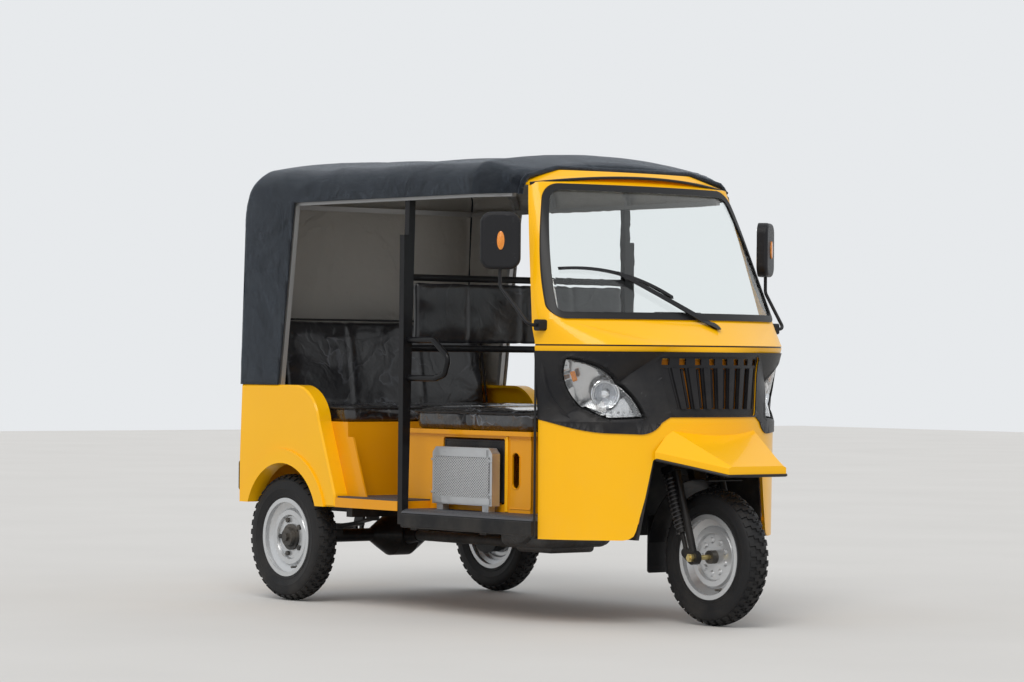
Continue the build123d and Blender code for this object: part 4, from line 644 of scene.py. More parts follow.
for side, label in SIDES:
    crescent = begin(f"band_crescent_{label}", bpy.ops.mesh.primitive_grid_add, x_subdivisions=len(CRESCENT) - 1,
                     y_subdivisions=len(CREST) - 1, size=1)
    for number, corner in enumerate(crescent.data.vertices):
        row, column = divmod(number, len(CRESCENT))
        sharp_y, sharp_z, fading_y, fading_z, lift = CRESCENT[column]
        share, height = CREST[row]
        at, outward = on_band(sharp_y + (fading_y - sharp_y) * share, sharp_z + (fading_z - sharp_z) * share)
        corner.co = at + outward * (lift * height - 0.0008)
        corner.co.x *= -side
    bpy.ops.object.mode_set(mode="EDIT")
    face_outward()
    bpy.ops.object.mode_set(mode="OBJECT")
    middle_face = crescent.data.polygons[len(crescent.data.polygons) // 2]
    if middle_face.normal.x * side < 0:
        crescent.data.flip_normals()
    apply_modifier(crescent, "back", "SOLIDIFY", thickness=0.0016, offset=-1)
    hand_over(crescent, moulded_black, "chassis", angle=50)

# ------------------------------------------------------------------ grille's inner louvres, in painted shade
# Behind the slots stand thin black fins of the same moulding, and behind them a sheet in dark brownish orange.
# Both are painted shade: they stand in for the shadow over the yellow sheet deep in the grille's pocket, so the slots
# look deep.
grille_shade_paint = make_finish("grille_shade_paint", (0.42, 0.14, 0.002), 0.6, (scuffed, 20, 0.8, (0.16, 0.05, 0.004)),
                           (sprayed, 12, 300, 0.002), Specular_IOR_Level=0.2)
nose_now = nodes["nose_panel"]
POCKET_FOOT, POCKET_TALL, POCKET_HALF = 0.827, 0.206, (0.214, 0.259)


def pocket_floor(x, z):
    """The floor of the pocket behind the grille, found from ahead."""
    _, at, _, _ = nose_now.ray_cast(Vector((x, -1.5, z)), Vector((0, 1, 0)))
    return at


# A sheet in dark brownish orange over the pocket's floor: painted shade.
lining = begin("grille_lining", bpy.ops.mesh.primitive_grid_add, x_subdivisions=24, y_subdivisions=8, size=1)
for corner in lining.data.vertices:
    z = 0.930 + corner.co.y * POCKET_TALL
    half = POCKET_HALF[0] + (POCKET_HALF[1] - POCKET_HALF[0]) * (z - POCKET_FOOT) / POCKET_TALL
    corner.co = pocket_floor(corner.co.x * 2 * half, z) - Vector((0, 0.002, 0))
edit_all()
extrude((0, 0.0012, 0))
face_outward()
hand_over(lining, grille_shade_paint, "chassis")
# Black fins beside the slots: painted shade that narrows the lit yellow in each slot.
for column in range(3):
    for side, label in SIDES:
        fin = begin(f"grille_fin_{label}_{column + 1}", bpy.ops.mesh.primitive_grid_add, x_subdivisions=1,
                    y_subdivisions=8, size=1)
        for corner in fin.data.vertices:
            share = corner.co.y + 0.5
            z = 0.846 + 0.150 * share
            x = side * (column + 0.5) * (0.056 + 0.010 * share) + 0.0035 + corner.co.x * 0.009
            corner.co = pocket_floor(x, z) - Vector((0, 0.006, 0))
        edit_all()
        extrude((0, -0.005, 0))
        face_outward()
        hand_over(fin, moulded_black, "chassis")

# ------------------------------------------------------------------ rubber edgings
# Black rubber edging is pressed onto the raw edges of the sheet: under the lip of the wheel's hood, down the
# rear edges of the nose and round the brim over the windscreen.
EDGING_R = 0.0048


def edging(name, points, radius, sides=8, closed=False):
    """Rubber or piped edging of round section, through a run of points."""
    piece = begin(name, bpy.ops.mesh.primitive_circle_add, vertices=sides, radius=radius)
    bpy.ops.object.mode_set(mode="EDIT")
    bpy.ops.mesh.select_mode(type="VERT")
    bpy.ops.mesh.select_all(action="SELECT")
    for _ in points[1:]:
        extrude((0, 0, 1))
    bpy.ops.object.mode_set(mode="OBJECT")
    rings = sorted(piece.data.vertices, key=lambda corner: round(corner.co.z))
    points = [Vector(point) for point in points]
    for turn_at, point in enumerate(points):
        before = points[turn_at - 1] if turn_at or closed else point
        after = points[(turn_at + 1) % len(points)] if turn_at + 1 < len(points) or closed else point
        heading = (after - before).normalized()
        guide = Vector((0, 0, 1)) if abs(heading.z) < 0.95 else Vector((0, 1, 0))
        across = heading.cross(guide).normalized()
        lift = across.cross(heading)
        for corner in rings[turn_at * sides:turn_at * sides + sides]:
            corner.co = point + across * corner.co.x + lift * corner.co.y
    bpy.ops.object.mode_set(mode="EDIT")
    select_where(piece, "edges", lambda edge: edge.is_boundary)
    if closed:
        bpy.ops.mesh.bridge_edge_loops()
    else:
        bpy.ops.mesh.edge_face_add()
    face_outward()
    return piece


seal_rubber = make_finish("seal_rubber", (0.010, 0.010, 0.011), 0.42, (scuffed, 30, 0.4, (0.05, 0.05, 0.052)),
                          (dusted, 0.08, 0.6), (sprayed, 9, 500, 0.0015), Specular_IOR_Level=0.3)
cover(seal_rubber, "windscreen_seal", "mud_flap")

VISOR_HEM = [(-0.290, -1.028, 0.6465), (-0.222, -1.154, 0.6195), (-0.151, -1.2865, 0.5905), (-0.145, -1.2895, 0.5900),
             (0.145, -1.2895, 0.5900), (0.151, -1.2865, 0.5905), (0.222, -1.154, 0.6195), (0.290, -1.028, 0.6465)]
visor_edging = edging("visor_edging", VISOR_HEM, EDGING_R + 0.001)
hand_over(visor_edging, seal_rubber, "chassis")
for side, label in SIDES:
    door_edge = edging(f"door_edging_{label}", [(side * 0.604, -0.6765, z) for z in (0.340, 0.6, 0.8, 1.080)], EDGING_R)
    hand_over(door_edge, seal_rubber, "chassis")
BRIM_Y = -0.60875
brim_edge = []
for step in range(-12, 13):
    share = step / 12
    brim_edge.append((0.5215 * share, BRIM_Y + 0.080 * share ** 2, 1.7530 - 0.036 * share ** 2))
hand_over(edging("brim_edging", brim_edge, 0.0060), seal_rubber, "chassis")

# ------------------------------------------------------------------ headlamps
# Each lamp is a clear moulded cover over a chromed plastic housing, set in a black socket. Inside are a round
# bowl with its bulb cap, an amber flasher at the tip and a row of five small square lights along the foot.
lamp_chrome, tree, shader = start_finish("lamp_chrome", (0.90, 0.91, 0.92), 0.12, Metallic=0.9)
flutes = pattern(tree, "TexWave", 26.0, settings={"bands_direction": "DIAGONAL"}, Distortion=1.5)
emboss(tree, shader, flutes, 0.0009)
# Darker patches in the chrome's colour: painted reflection of dark surroundings.
lay_over(tree, shader, put_effect(tree, spray_coat, "Height", Waves=20, Pimples=80), (0.55, 0.57, 0.60))
lamp_bezel = make_finish("lamp_bezel", (0.60, 0.61, 0.62), 0.22, (sprayed, 14, 90, 0.002), Metallic=0.85)
lamp_cover = make_finish("lamp_cover", (1.0, 1.0, 1.0), 0.02, (sprayed, 18, 60, 0.0012), Transmission_Weight=1.0,
                         IOR=1.38)
amber_filter, tree, shader = start_finish("amber_filter", (0.70, 0.17, 0.006), 0.18, Coat_Weight=0.6)
prisms = pattern(tree, "TexVoronoi", 260.0, "Distance")
emboss(tree, shader, prisms, 0.0012)
lay_over(tree, shader, prisms, (0.80, 0.30, 0.02))
small_light, tree, shader = start_finish("small_light", (0.42, 0.44, 0.46), 0.2, Coat_Weight=0.8)
dots = pattern(tree, "TexVoronoi", 300.0, "Distance")
lay_over(tree, shader, dots, (0.66, 0.68, 0.72))
emboss(tree, shader, dots, 0.0008)

# outlines in (along the lamp, radius), and the row of square lights in (x, z)
BOWL = [(-0.006, 0.059), (0.001, 0.058), (0.003, 0.055), (0.000, 0.051), (-0.0025, 0.049), (-0.010, 0.047),
        (-0.022, 0.040), (-0.032, 0.028), (-0.037, 0.012), (-0.037, 0.0), (-0.035, 0.0), (-0.034, 0.012),
        (-0.029, 0.027), (-0.020, 0.038), (-0.009, 0.045)]
BULB_CAP = [(-0.035, 0.0), (-0.035, 0.011), (-0.020, 0.0125), (-0.008, 0.017), (-0.003, 0.015), (0.0, 0.008),
            (0.0, 0.0)]
LIGHT_ROW = ((0.352, 0.829), (0.371, 0.828), (0.390, 0.827), (0.409, 0.827), (0.428, 0.830))


def plump_block(name, size, radius):
    """A small moulded block with rounded edges and a step in its face, about the origin."""
    block = begin(name, bpy.ops.mesh.primitive_cube_add, size=1, scale=size)
    settle()
    edit_all()
    bpy.ops.mesh.bevel(offset=radius, segments=3, affect="EDGES")
    select_where(block, "faces", lambda face: face.normal.y < -0.98)
    bpy.ops.mesh.inset(thickness=radius * 0.6)
    extrude((0, radius * 0.5, 0))
    return block


for side, label in SIDES:
    case = open_copy(f"headlamp_{label}", f"lamp_case_{label}")
    mesh = bmesh.from_edit_mesh(case.data)
    mesh.faces.ensure_lookup_table()
    ahead = {face.index for face in mesh.faces if face.normal.y < -0.05}
    islands = []
    while ahead:
        patch, edge_of_patch = set(), [ahead.pop()]
        while edge_of_patch:
            index = edge_of_patch.pop()
            patch.add(index)
            for edge in mesh.faces[index].edges:
                for face in edge.link_faces:
                    if face.index in ahead:
                        ahead.discard(face.index)
                        edge_of_patch.append(face.index)
        islands.append(patch)
    cover_faces = max(islands, key=lambda patch: sum(mesh.faces[index].calc_area() for index in patch))
    select_where(case, "faces", lambda face: face.index in cover_faces)
    before = set(bpy.data.objects)
    bpy.ops.mesh.separate(type="SELECTED")
    bpy.ops.object.mode_set(mode="OBJECT")
    lens = (set(bpy.data.objects) - before).pop()
    lens.name = f"lamp_cover_{label}"
    front = [corner.co.copy() for corner in lens.data.vertices]
    case.data.materials.clear()
    case.data.materials.append(seal_rubber)
    case.data.materials.append(lamp_bezel)
    apply_modifier(case, "wall", "SOLIDIFY", thickness=0.0012, offset=-1, material_offset=1)
    inner = [polygon.material_index for polygon in case.data.polygons]
    hand_over(case, seal_rubber, "chassis", angle=30)
    case.data.materials.append(lamp_bezel)
    for polygon, index in zip(case.data.polygons, inner):
        polygon.material_index = min(index, 1)
    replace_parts(case, f"headlamp_{label}")
    apply_modifier(lens, "thick", "SOLIDIFY", thickness=0.0022, offset=-1)
    hand_over(lens, lamp_cover, "chassis", angle=30)

    def behind_cover(x, z, depth):
        """A place that far behind the cover, at a place in front view."""
        near = min(front, key=lambda corner: (corner.x - x) ** 2 + (corner.z - z) ** 2)
        return Vector((x, near.y + depth, z))

    facing = Matrix.Rotation(radians(-90) + side * radians(24), 4, "Z")
    bowl_place = behind_cover(side * 0.414, 0.897, 0.013)
    for piece_name, outline, finish in (("lamp_bowl", BOWL, lamp_chrome), ("bulb_cap", BULB_CAP, lamp_chrome)):
        piece = turn(f"{piece_name}_{label}", outline, Vector((0, 0, 0)), 40)
        hand_over(piece, finish, "chassis", angle=40, placing=Matrix.Translation(bowl_place) @ facing)
    flasher = plump_block(f"lamp_flasher_{label}", (0.020, 0.012, 0.040), 0.004)
    hand_over(flasher, amber_filter, "chassis")
    flasher.data.transform(Matrix.Translation(behind_cover(side * 0.517, 0.965, 0.022))
                           @ Matrix.Rotation(side * radians(45), 4, "Z") @ Matrix.Rotation(side * radians(18), 4, "Y"))
    for number, (x, z) in enumerate(LIGHT_ROW):
        light = plump_block(f"lamp_square_{label}_{number + 1}", (0.0100, 0.008, 0.0100), 0.0016)
        hand_over(light, small_light, "chassis")
        light.data.transform(Matrix.Translation(behind_cover(side * x, z, 0.010))
                             @ Matrix.Rotation(side * radians(20), 4, "Z"))

# ------------------------------------------------------------------ windscreen
# Laminated glass in its rubber seal, curved with the cab, and hazed a little in patches.
screen_glass, tree, shader = start_finish("screen_glass", (0.93, 0.97, 0.96), 0.0, Transmission_Weight=1.0, IOR=1.45)
cloud = pattern(tree, "TexNoise", 4.0, Detail=8, Roughness=0.7)
film = spread(tree, cloud, 0.5, 0.8, at_high=0.06)
tree.links.new(film, shader.inputs["Roughness"])
cover(screen_glass, "windscreen_glass")

# ------------------------------------------------------------------ mirrors
# Each black moulded shell holds a flat silvered glass turned to the driver. An amber marker is snapped into
# the front of the shell.
MIRROR_TURN = radians(36)
mirror_glass, tree, shader = start_finish("mirror_glass", (0.86, 0.88, 0.90), 0.03, Metallic=1.0)
smear = pattern(tree, "TexNoise", 25.0, Detail=6)
dull = spread(tree, smear, 0.5, 0.9, 0.02, 0.2)
tree.links.new(dull, shader.inputs["Roughness"])
for side, label in SIDES:
    middle = Vector((side * 0.700, -0.57175, 1.487))
    placing = Matrix.Translation(middle) @ Matrix.Rotation(side * MIRROR_TURN, 4, "Z")
    glass = begin(f"mirror_glass_{label}", bpy.ops.mesh.primitive_cube_add, size=1, location=(0, 0.0232, 0),
                  scale=(0.142, 0.0024, 0.206))
    settle()
    bpy.ops.object.mode_set(mode="EDIT")
    select_where(glass, "edges", lambda edge: abs(edge.verts[0].co.y - edge.verts[1].co.y) > 0.001)
    bpy.ops.mesh.bevel(offset=0.038, segments=8, affect="EDGES")
    select_where(glass, "faces", lambda face: face.normal.y > 0.98)
    bpy.ops.mesh.inset(thickness=0.0015)
    extrude((0, 0.0004, 0))
    hand_over(glass, mirror_glass, "chassis", placing=placing)
    marker = begin(f"mirror_marker_{label}", bpy.ops.mesh.primitive_circle_add, vertices=28, radius=1,
                   fill_type="NGON", location=(0, -0.0224, 0), rotation=(pi / 2, 0, 0))
    marker.scale = (0.0145, 0.036, 1)
    settle()
    edit_all()
    extrude((0, -0.004, 0))
    bpy.ops.mesh.inset(thickness=0.0025)
    bpy.ops.transform.translate(value=(0, -0.0016, 0))
    face_outward()
    hand_over(marker, amber_filter, "chassis", placing=placing)

# ------------------------------------------------------------------ radiator in the seat box's window
# A bare aluminium radiator with soldered tanks. Its core is flat tubes with folded fins between them; the fins'
# depth is painted dark, as painted shade.
radiator_alloy = make_finish("radiator_alloy", (0.50, 0.51, 0.52), 0.38, (scuffed, 50, 0.6, (0.30, 0.30, 0.30)),
                             (sprayed, 22, 500, 0.003), Metallic=0.75)
cover(radiator_alloy, "radiator")
CORE_TALL, CORE_MIDDLE, CORE_ROWS = 0.152, 0.556, 21
core = begin("radiator_core", bpy.ops.mesh.primitive_grid_add, x_subdivisions=2, y_subdivisions=CORE_ROWS,
             size=1, location=(0, 0, 0))
core.scale = (0.340, CORE_TALL, 1)
settle()
bpy.ops.object.mode_set(mode="EDIT")
select_where(core, "faces",
             lambda face: int((face.calc_center_median().y / CORE_TALL + 0.5) * CORE_ROWS) % 2 == 0)
extrude((0, 0, 0.0022))
core_fins, tree, shader = start_finish("core_fins", (0.42, 0.43, 0.44), 0.4, Metallic=0.7)
here = place(tree, "TexCoord").outputs["Object"]
folds = place(tree, "TexWave", [("Vector", here), ("Scale", 95.0), ("Distortion", 0.6)],
              bands_direction="Y").outputs["Fac"]
# Dark in the folds' depth: painted shade between the fins.
deep = spread(tree, folds, 0.25, 0.7, 1.0, 0.0)
lay_over(tree, shader, deep, (0.03, 0.03, 0.032))
emboss(tree, shader, folds, 0.0015)
hand_over(core, core_fins, "chassis", angle=0)
radiator_low, radiator_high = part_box("radiator")
stood_up = Matrix(((0, 0, -1, 0), (1, 0, 0, 0), (0, 1, 0, 0), (0, 0, 0, 1)))
core.data.transform(Matrix.Translation((-0.4992, (radiator_low.y + radiator_high.y) / 2, CORE_MIDDLE)) @ stood_up)

# ------------------------------------------------------------------ radiator's guard and cowl
# A pierced and plated guard clips over the core, and behind the core a black moulded cowl fills the seat box's
# window and leads the air to the fan.
guard_plate, tree, shader = start_finish("guard_plate", (0.62, 0.63, 0.64), 0.42, Metallic=0.4)
here = place(tree, "TexCoord").outputs["Object"]
turned = place(tree, "Mapping", [("Vector", here), ("Rotation", (radians(45), 0, 0)), ("Scale", (0.0, 1.0, 1.0))])
cells = place(tree, "TexVoronoi", [("Vector", turned.outputs[0]), ("Scale", 125.0), ("Randomness", 0.0)],
              feature="F1").outputs["Distance"]
# The holes are painted near black rather than cut: painted shade of the core seen through them.
pierced = spread(tree, cells, 0.34, 0.40, 1.0, 0.0)
lay_over(tree, shader, pierced, (0.035, 0.036, 0.038))
scuffed(tree, shader, 50, 0.5, (0.40, 0.40, 0.41))
emboss(tree, shader, pierced, -0.0012)
FACING_RIGHT = Matrix.Rotation(radians(-90), 4, "Z")
GUARD_X = -0.5085
guard = plump_block("radiator_guard", (0.352, 0.0030, 0.164), 0.0014)
hand_over(guard, guard_plate, "chassis",
          placing=Matrix.Translation((GUARD_X, (radiator_low.y + radiator_high.y) / 2, CORE_MIDDLE)) @ FACING_RIGHT)
for number, height in enumerate((0.490, 0.622)):
    for end, along in (("front", radiator_low.y + 0.006), ("rear", radiator_high.y - 0.006)):
        clip = plump_block(f"radiator_clip_{end}_{number + 1}", (0.022, 0.0040, 0.009), 0.0012)
        hand_over(clip, radiator_alloy, "chassis",
                  placing=Matrix.Translation((GUARD_X, along, height)) @ FACING_RIGHT)
cowl = plump_block("radiator_cowl", (0.388, 0.012, 0.250), 0.005)
hand_over(cowl, moulded_black, "chassis",
          placing=Matrix.Translation((-0.4420, -0.09875, 0.581)) @ FACING_RIGHT)

# ------------------------------------------------------------------ seat box's locker door
# Ahead of the radiator a shallow locker closes with a pressed door. A folded corner strip stands beside it, and
# the door's edge and the slot to lift it by are swaged.


def swage(name, outline, x, radius):
    """A swaged line pressed round an outline of (y, z) on the seat box's side."""
    return edging(name, [(x, y, z) for y, z in outline], radius, closed=True)


def round_corners(low_a, high_a, low_b, high_b, radius, steps=5):
    """Points round a rectangle with round corners, as pairs along its two sides."""
    points = []
    for centre_a, centre_b, start in ((high_a - radius, high_b - radius, 0), (low_a + radius, high_b - radius, 90),
                                      (low_a + radius, low_b + radius, 180), (high_a - radius, low_b + radius, 270)):
        for step in range(steps + 1):
            angle = radians(start + 90 * step / steps)
            points.append((centre_a + radius * cos(angle), centre_b + radius * sin(angle)))
    return points


SEAT_BOX_SIDE = -0.4485
# The swaged lines wear the seat box's deeper orange copy of the enamel, which is painted shade.
door_line = swage("locker_door_line", round_corners(-0.463, -0.3275, 0.436, 0.712, 0.008), SEAT_BOX_SIDE, 0.0022)
hand_over(door_line, shaded_inner_enamel, "chassis")
slot_line = swage("locker_slot_line", round_corners(-0.3935, -0.3440, 0.5145, 0.6595, 0.0245, 9), SEAT_BOX_SIDE, 0.0026)
hand_over(slot_line, shaded_inner_enamel, "chassis")
strip = plump_block("locker_corner_strip", (0.018, 0.006, 0.300), 0.0022)
hand_over(strip, yellow_enamel, "chassis",
          placing=Matrix.Translation((-0.4505, -0.3120, 0.572)) @ FACING_RIGHT)

# ------------------------------------------------------------------ engine
# A single-cylinder engine under the driver's seat: a cast crankcase over a finned sump, a finned barrel, and a
# round cover on each side, over the clutch on the right and over the magneto on the left.


def casting(name, low, high, radius):
    """A cast block with well-rounded edges between two corners."""
    block = begin(name, bpy.ops.mesh.primitive_cube_add, size=1, location=[(a + b) / 2 for a, b in zip(low, high)],
                  scale=[b - a for a, b in zip(low, high)])
    settle()
    edit_all()
    bpy.ops.mesh.bevel(offset=radius, segments=5, affect="EDGES")
    return block


crankcase = casting("engine_crankcase", (-0.176, -0.222, 0.262), (0.176, 0.081, 0.470), 0.034)
select_where(crankcase, "faces", lambda face: abs(face.normal.x) > 0.98)
bpy.ops.mesh.inset(thickness=0.022)
extrude((0, 0, 0))
bpy.ops.transform.resize(value=(1.02, 1.0, 1.0))
hand_over(crankcase, cast_case, "chassis")
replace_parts(crankcase, "engine_block")
# columns: name, lowest and highest corner, rounding
castings = [("engine_sump", (-0.120, -0.190, 0.2405), (0.120, 0.040, 0.285), 0.018)]
for number in range(7):
    at = -0.168 + number * 0.030
    castings.append((f"sump_fin_{number + 1}", (-0.112, at, 0.2415), (0.112, at + 0.004, 0.262), 0.0015))
for number in range(11):
    at = 0.466 + number * 0.0122
    castings.append((f"barrel_fin_{number + 1}", (-0.092, -0.170, at), (0.092, 0.020, at + 0.0032), 0.0012))
castings.append(("engine_barrel", (-0.062, -0.140, 0.450), (0.062, -0.010, 0.598), 0.020))
for name, low, high, rounding in castings:
    hand_over(casting(name, low, high, rounding), cast_case, "chassis")
CLUTCH_COVER = [(0.0, 0.0), (0.0, 0.052), (0.003, 0.058), (0.004, 0.078), (0.010, 0.084), (0.022, 0.086),
                (0.028, 0.0845), (0.028, 0.0)]
for side, label in ((-1, "clutch"), (1, "magneto")):
    lid = turn(f"{label}_cover", CLUTCH_COVER, Vector((0, 0, 0)), 48)
    hand_over(lid, cast_case, "chassis", angle=40)
    outward = Matrix.Rotation(radians(180), 4, "Z") if side == 1 else Matrix.Identity(4)
    lid.data.transform(Matrix.Translation((side * 0.198, -0.074, 0.362)) @ outward)

# ------------------------------------------------------------------ tail lamps
# Three-colour lamps: on each black back plate stand a red, an amber and a clear lens, one below another.
red_filter, tree, shader = start_finish("red_filter", (0.55, 0.008, 0.008), 0.16, Coat_Weight=0.6)
prisms = pattern(tree, "TexVoronoi", 220.0, "Distance")
emboss(tree, shader, prisms, 0.0012)
lay_over(tree, shader, prisms, (0.75, 0.03, 0.02))
cover(seal_rubber, "tail_lamps")
for side, label in SIDES:
    for name, height, tall, finish in (("stop", 0.552, 0.046, red_filter), ("turn", 0.510, 0.030, amber_filter),
                                       ("reverse", 0.477, 0.026, small_light)):
        lens = plump_block(f"{name}_lens_{label}", (0.044, 0.010, tall), 0.003)
        hand_over(lens, finish, "chassis",
                  placing=Matrix.Translation((side * 0.588, 1.3200, height)) @ Matrix.Rotation(pi, 4, "Z"))

# ------------------------------------------------------------------ seats and the partition's pad
# Foam blocks in black leathercloth, with a piped edge, seams that divide the places and a crowned top. They are
# new, so each still wears its bag of clear film, crumpled and stretched at the corners. Along the film's folds a
# pale bluish colour is painted: a painted highlight of the sky, strongest on the seats that face up.
film_folds, entry, leave, here = new_effect("film_folds", [("Size", 6.0), ("Reach", 1.0)], ["Height", "Crest"])
bend = place(film_folds, "TexNoise", [("Vector", here), ("Scale", 3.2), ("Detail", 4)]).outputs["Color"]
bent = place(film_folds, "VectorMath", [(0, bend), (1, (0.5, 0.5, 0.5))], operation="SUBTRACT").outputs[0]
bent = place(film_folds, "VectorMath", [(0, bent), ("Scale", 0.42)], operation="SCALE").outputs[0]
moved = place(film_folds, "VectorMath", [(0, here), (1, bent)], operation="ADD").outputs[0]
long_way = place(film_folds, "Mapping", [("Vector", moved), ("Rotation", (0.3, 0.2, 0.7)), ("Scale", (1.0, 0.38, 1.3))])
fold_map = place(film_folds, "TexNoise", [("Vector", long_way.outputs[0]), ("Scale", entry["Size"]), ("Detail", 2.5),
                                          ("Distortion", 0.8)]).outputs["Fac"]
gap = reckon(film_folds, "SUBTRACT", fold_map, 0.5)
gap = reckon(film_folds, "ABSOLUTE", gap)
ridge = spread(film_folds, gap, 0.0, 0.16, 1.0, 0.0)
small = place(film_folds, "TexNoise", [("Vector", moved), ("Scale", 34.0), ("Detail", 5)]).outputs["Fac"]
small = reckon(film_folds, "MULTIPLY", small, 0.18)
height = reckon(film_folds, "ADD", ridge, small)
film_folds.links.new(height, leave["Height"])
# Crest: a thin line along each fold, in patches; it carries the painted highlight along the folds, and their rougher
# film.
line = spread(film_folds, gap, 0.0, 0.020, 1.0, 0.0)
where = place(film_folds, "TexNoise", [("Vector", here), ("Scale", 4.5), ("Detail", 3)]).outputs["Fac"]
where = spread(film_folds, where, 0.46, 0.66)
crest = reckon(film_folds, "MULTIPLY", line, where)
crest = reckon(film_folds, "MULTIPLY", crest, entry["Reach"], use_clamp=True)
film_folds.links.new(crest, leave["Crest"])

film_wraps = {}
# columns: finish, size of the folds, how strong the painted highlight along them is, the film's gloss, the folds' depth
for label, size, painted_highlight, gloss, deep in (("film_on_backs", 3.0, 0.15, 0.38, 0.0045),
                                        ("film_on_seats", 4.5, 0.70, 1.0, 0.012)):
    film_wraps[label], tree, shader = start_finish(label, (0.010, 0.010, 0.012), 0.34, Specular_IOR_Level=0.35,
                                                   Coat_Weight=gloss, Coat_Roughness=0.09)
    folds = tree.nodes.new("ShaderNodeGroup")
    folds.node_tree = film_folds
    folds.inputs["Size"].default_value = size
    folds.inputs["Reach"].default_value = painted_highlight
    # The pale bluish colour along the folds is a painted highlight.
    lay_over(tree, shader, folds.outputs["Crest"], (0.34, 0.37, 0.44))
    lay_over(tree, shader, folds.outputs["Crest"], 0.55, "Roughness")
    emboss(tree, shader, folds.outputs["Height"], deep)

plain_leathercloth, tree, shader = start_finish("plain_leathercloth", (0.011, 0.011, 0.012), 0.42,
                                                Specular_IOR_Level=0.3)
grain = pattern(tree, "TexVoronoi", 420.0, "Distance", settings={"feature": "SMOOTH_F1"})
emboss(tree, shader, grain, 0.0008)
scuffed(tree, shader, 40, 0.4, (0.045, 0.045, 0.048))

SIM_STEPS = 20


def stuffed(name, low, high, rounding, voxel, cap, lean=0.0):
    """A foam block in its cover: a rounded block that cloth under pressure swells."""
    size = [top - foot for foot, top in zip(low, high)]
    middle = [(a + b) / 2 for a, b in zip(low, high)]
    pad = begin(name, bpy.ops.mesh.primitive_cube_add, size=1, location=middle, scale=size)
    settle()
    bpy.ops.object.mode_set(mode="EDIT")
    upright = min(range(3), key=lambda axis: size[axis])
    select_where(pad, "edges",
                 lambda edge: abs(edge.verts[0].co[upright] - edge.verts[1].co[upright]) > size[upright] / 2)
    bpy.ops.mesh.bevel(offset=rounding, segments=6, affect="EDGES")
    bpy.ops.mesh.select_all(action="SELECT")
    bpy.ops.mesh.bevel(offset=min(size) * 0.22, segments=4, affect="EDGES")
    bpy.ops.object.mode_set(mode="OBJECT")
    apply_modifier(pad, "weave", "REMESH", mode="VOXEL", voxel_size=voxel)
    for corner in pad.data.vertices:
        corner.co.y += lean * (corner.co.z - low[2])
    start = [corner.co.copy() for corner in pad.data.vertices]
    cloth = pad.modifiers.new("cloth", "CLOTH")
    cloth.settings.quality = 4
    cloth.settings.mass = 0.4
    cloth.settings.use_pressure = True
    cloth.settings.uniform_pressure_force = 4.0
    cloth.settings.effector_weights.gravity = 0
    cloth.collision_settings.use_collision = False
    cloth.point_cache.frame_start, cloth.point_cache.frame_end = 1, SIM_STEPS
    for step in range(1, SIM_STEPS + 1):
        bpy.context.scene.frame_set(step)
    take(pad)
    bpy.ops.object.modifier_apply(modifier="cloth")
    bpy.context.scene.frame_set(1)
    for corner, was in zip(pad.data.vertices, start):
        way = corner.co - was
        if way.length > cap:
            corner.co = was + way * (cap / way.length)
    return pad


def dress(pad, seams, depth, floor_axis, floor_at, direction):
    """Sinks the seams, crumples the cover a little, keeps the resting face flat and adds one subdivision."""
    for corner in pad.data.vertices:
        normal = corner.normal
        for axis, at in seams:
            gap = abs(corner.co[axis] - at)
            if gap < 0.03:
                corner.co -= normal * depth * (1 - gap / 0.03) ** 2
        ripple = noise.noise(Vector((corner.co.x * 7, corner.co.y * 7, corner.co.z * 11)))
        corner.co += normal * 0.0030 * ripple
        if (corner.co[floor_axis] - floor_at) * direction < 0:
            corner.co[floor_axis] = floor_at
    apply_modifier(pad, "finer", "SUBSURF", levels=1, render_levels=1)


# columns: node, lowest and highest corner before swelling, corner rounding, seams as (axis, where), lean
SEATS = (
    ("driver_cushion", (-0.444, -0.450, 0.7425), (0.444, 0.328, 0.822), 0.055, ((0, 0.0), (1, -0.06)), 0.0),
    ("bench_cushion", (-0.546, 0.610, 0.7625), (0.546, 1.034, 0.829), 0.045, ((0, 0.182), (0, -0.182)), 0.0),
    ("bench_backrest", (-0.543, 1.053, 0.7640), (0.543, 1.128, 1.194), 0.040, ((0, 0.182), (0, -0.182)), 0.1826),
)
for name, low, high, rounding, seams, lean in SEATS:
    pad = stuffed(f"{name}_pad", low, high, rounding, 0.012, 0.010, lean)
    lies_flat = lean == 0
    dress(pad, seams, 0.007, 2, low[2], 1)
    hand_over(pad, film_wraps["film_on_seats" if lies_flat else "film_on_backs"], "chassis", angle=0)
    bpy.ops.object.shade_smooth()
    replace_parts(pad, name)
    if lies_flat:
        rim = round_corners(-high[0] - 0.002, high[0] + 0.002, low[1] - 0.002, high[1] + 0.002, rounding, 6)
        loop = [(x, y, high[2] - 0.010) for x, y in rim]
    else:
        rim = round_corners(-high[0] - 0.002, high[0] + 0.002, low[2] + 0.006, high[2] - 0.002, rounding, 6)
        loop = [(x, low[1] + 0.004 + lean * (z - low[2]), z) for x, z in rim]
    hand_over(edging(f"{name}_piping", loop, 0.0045, closed=True), plain_leathercloth, "chassis")

pad = stuffed("partition_cushion", (-0.552, 0.155, 1.0875), (0.552, 0.187, 1.3400), 0.016, 0.009, 0.005)
dress(pad, ((0, 0.275), (0, 0.0), (0, -0.275)), 0.004, 2, 1.0860, 1)
hand_over(pad, film_wraps["film_on_backs"], "chassis", angle=0)
bpy.ops.object.shade_smooth()
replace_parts(pad, "partition_pad")

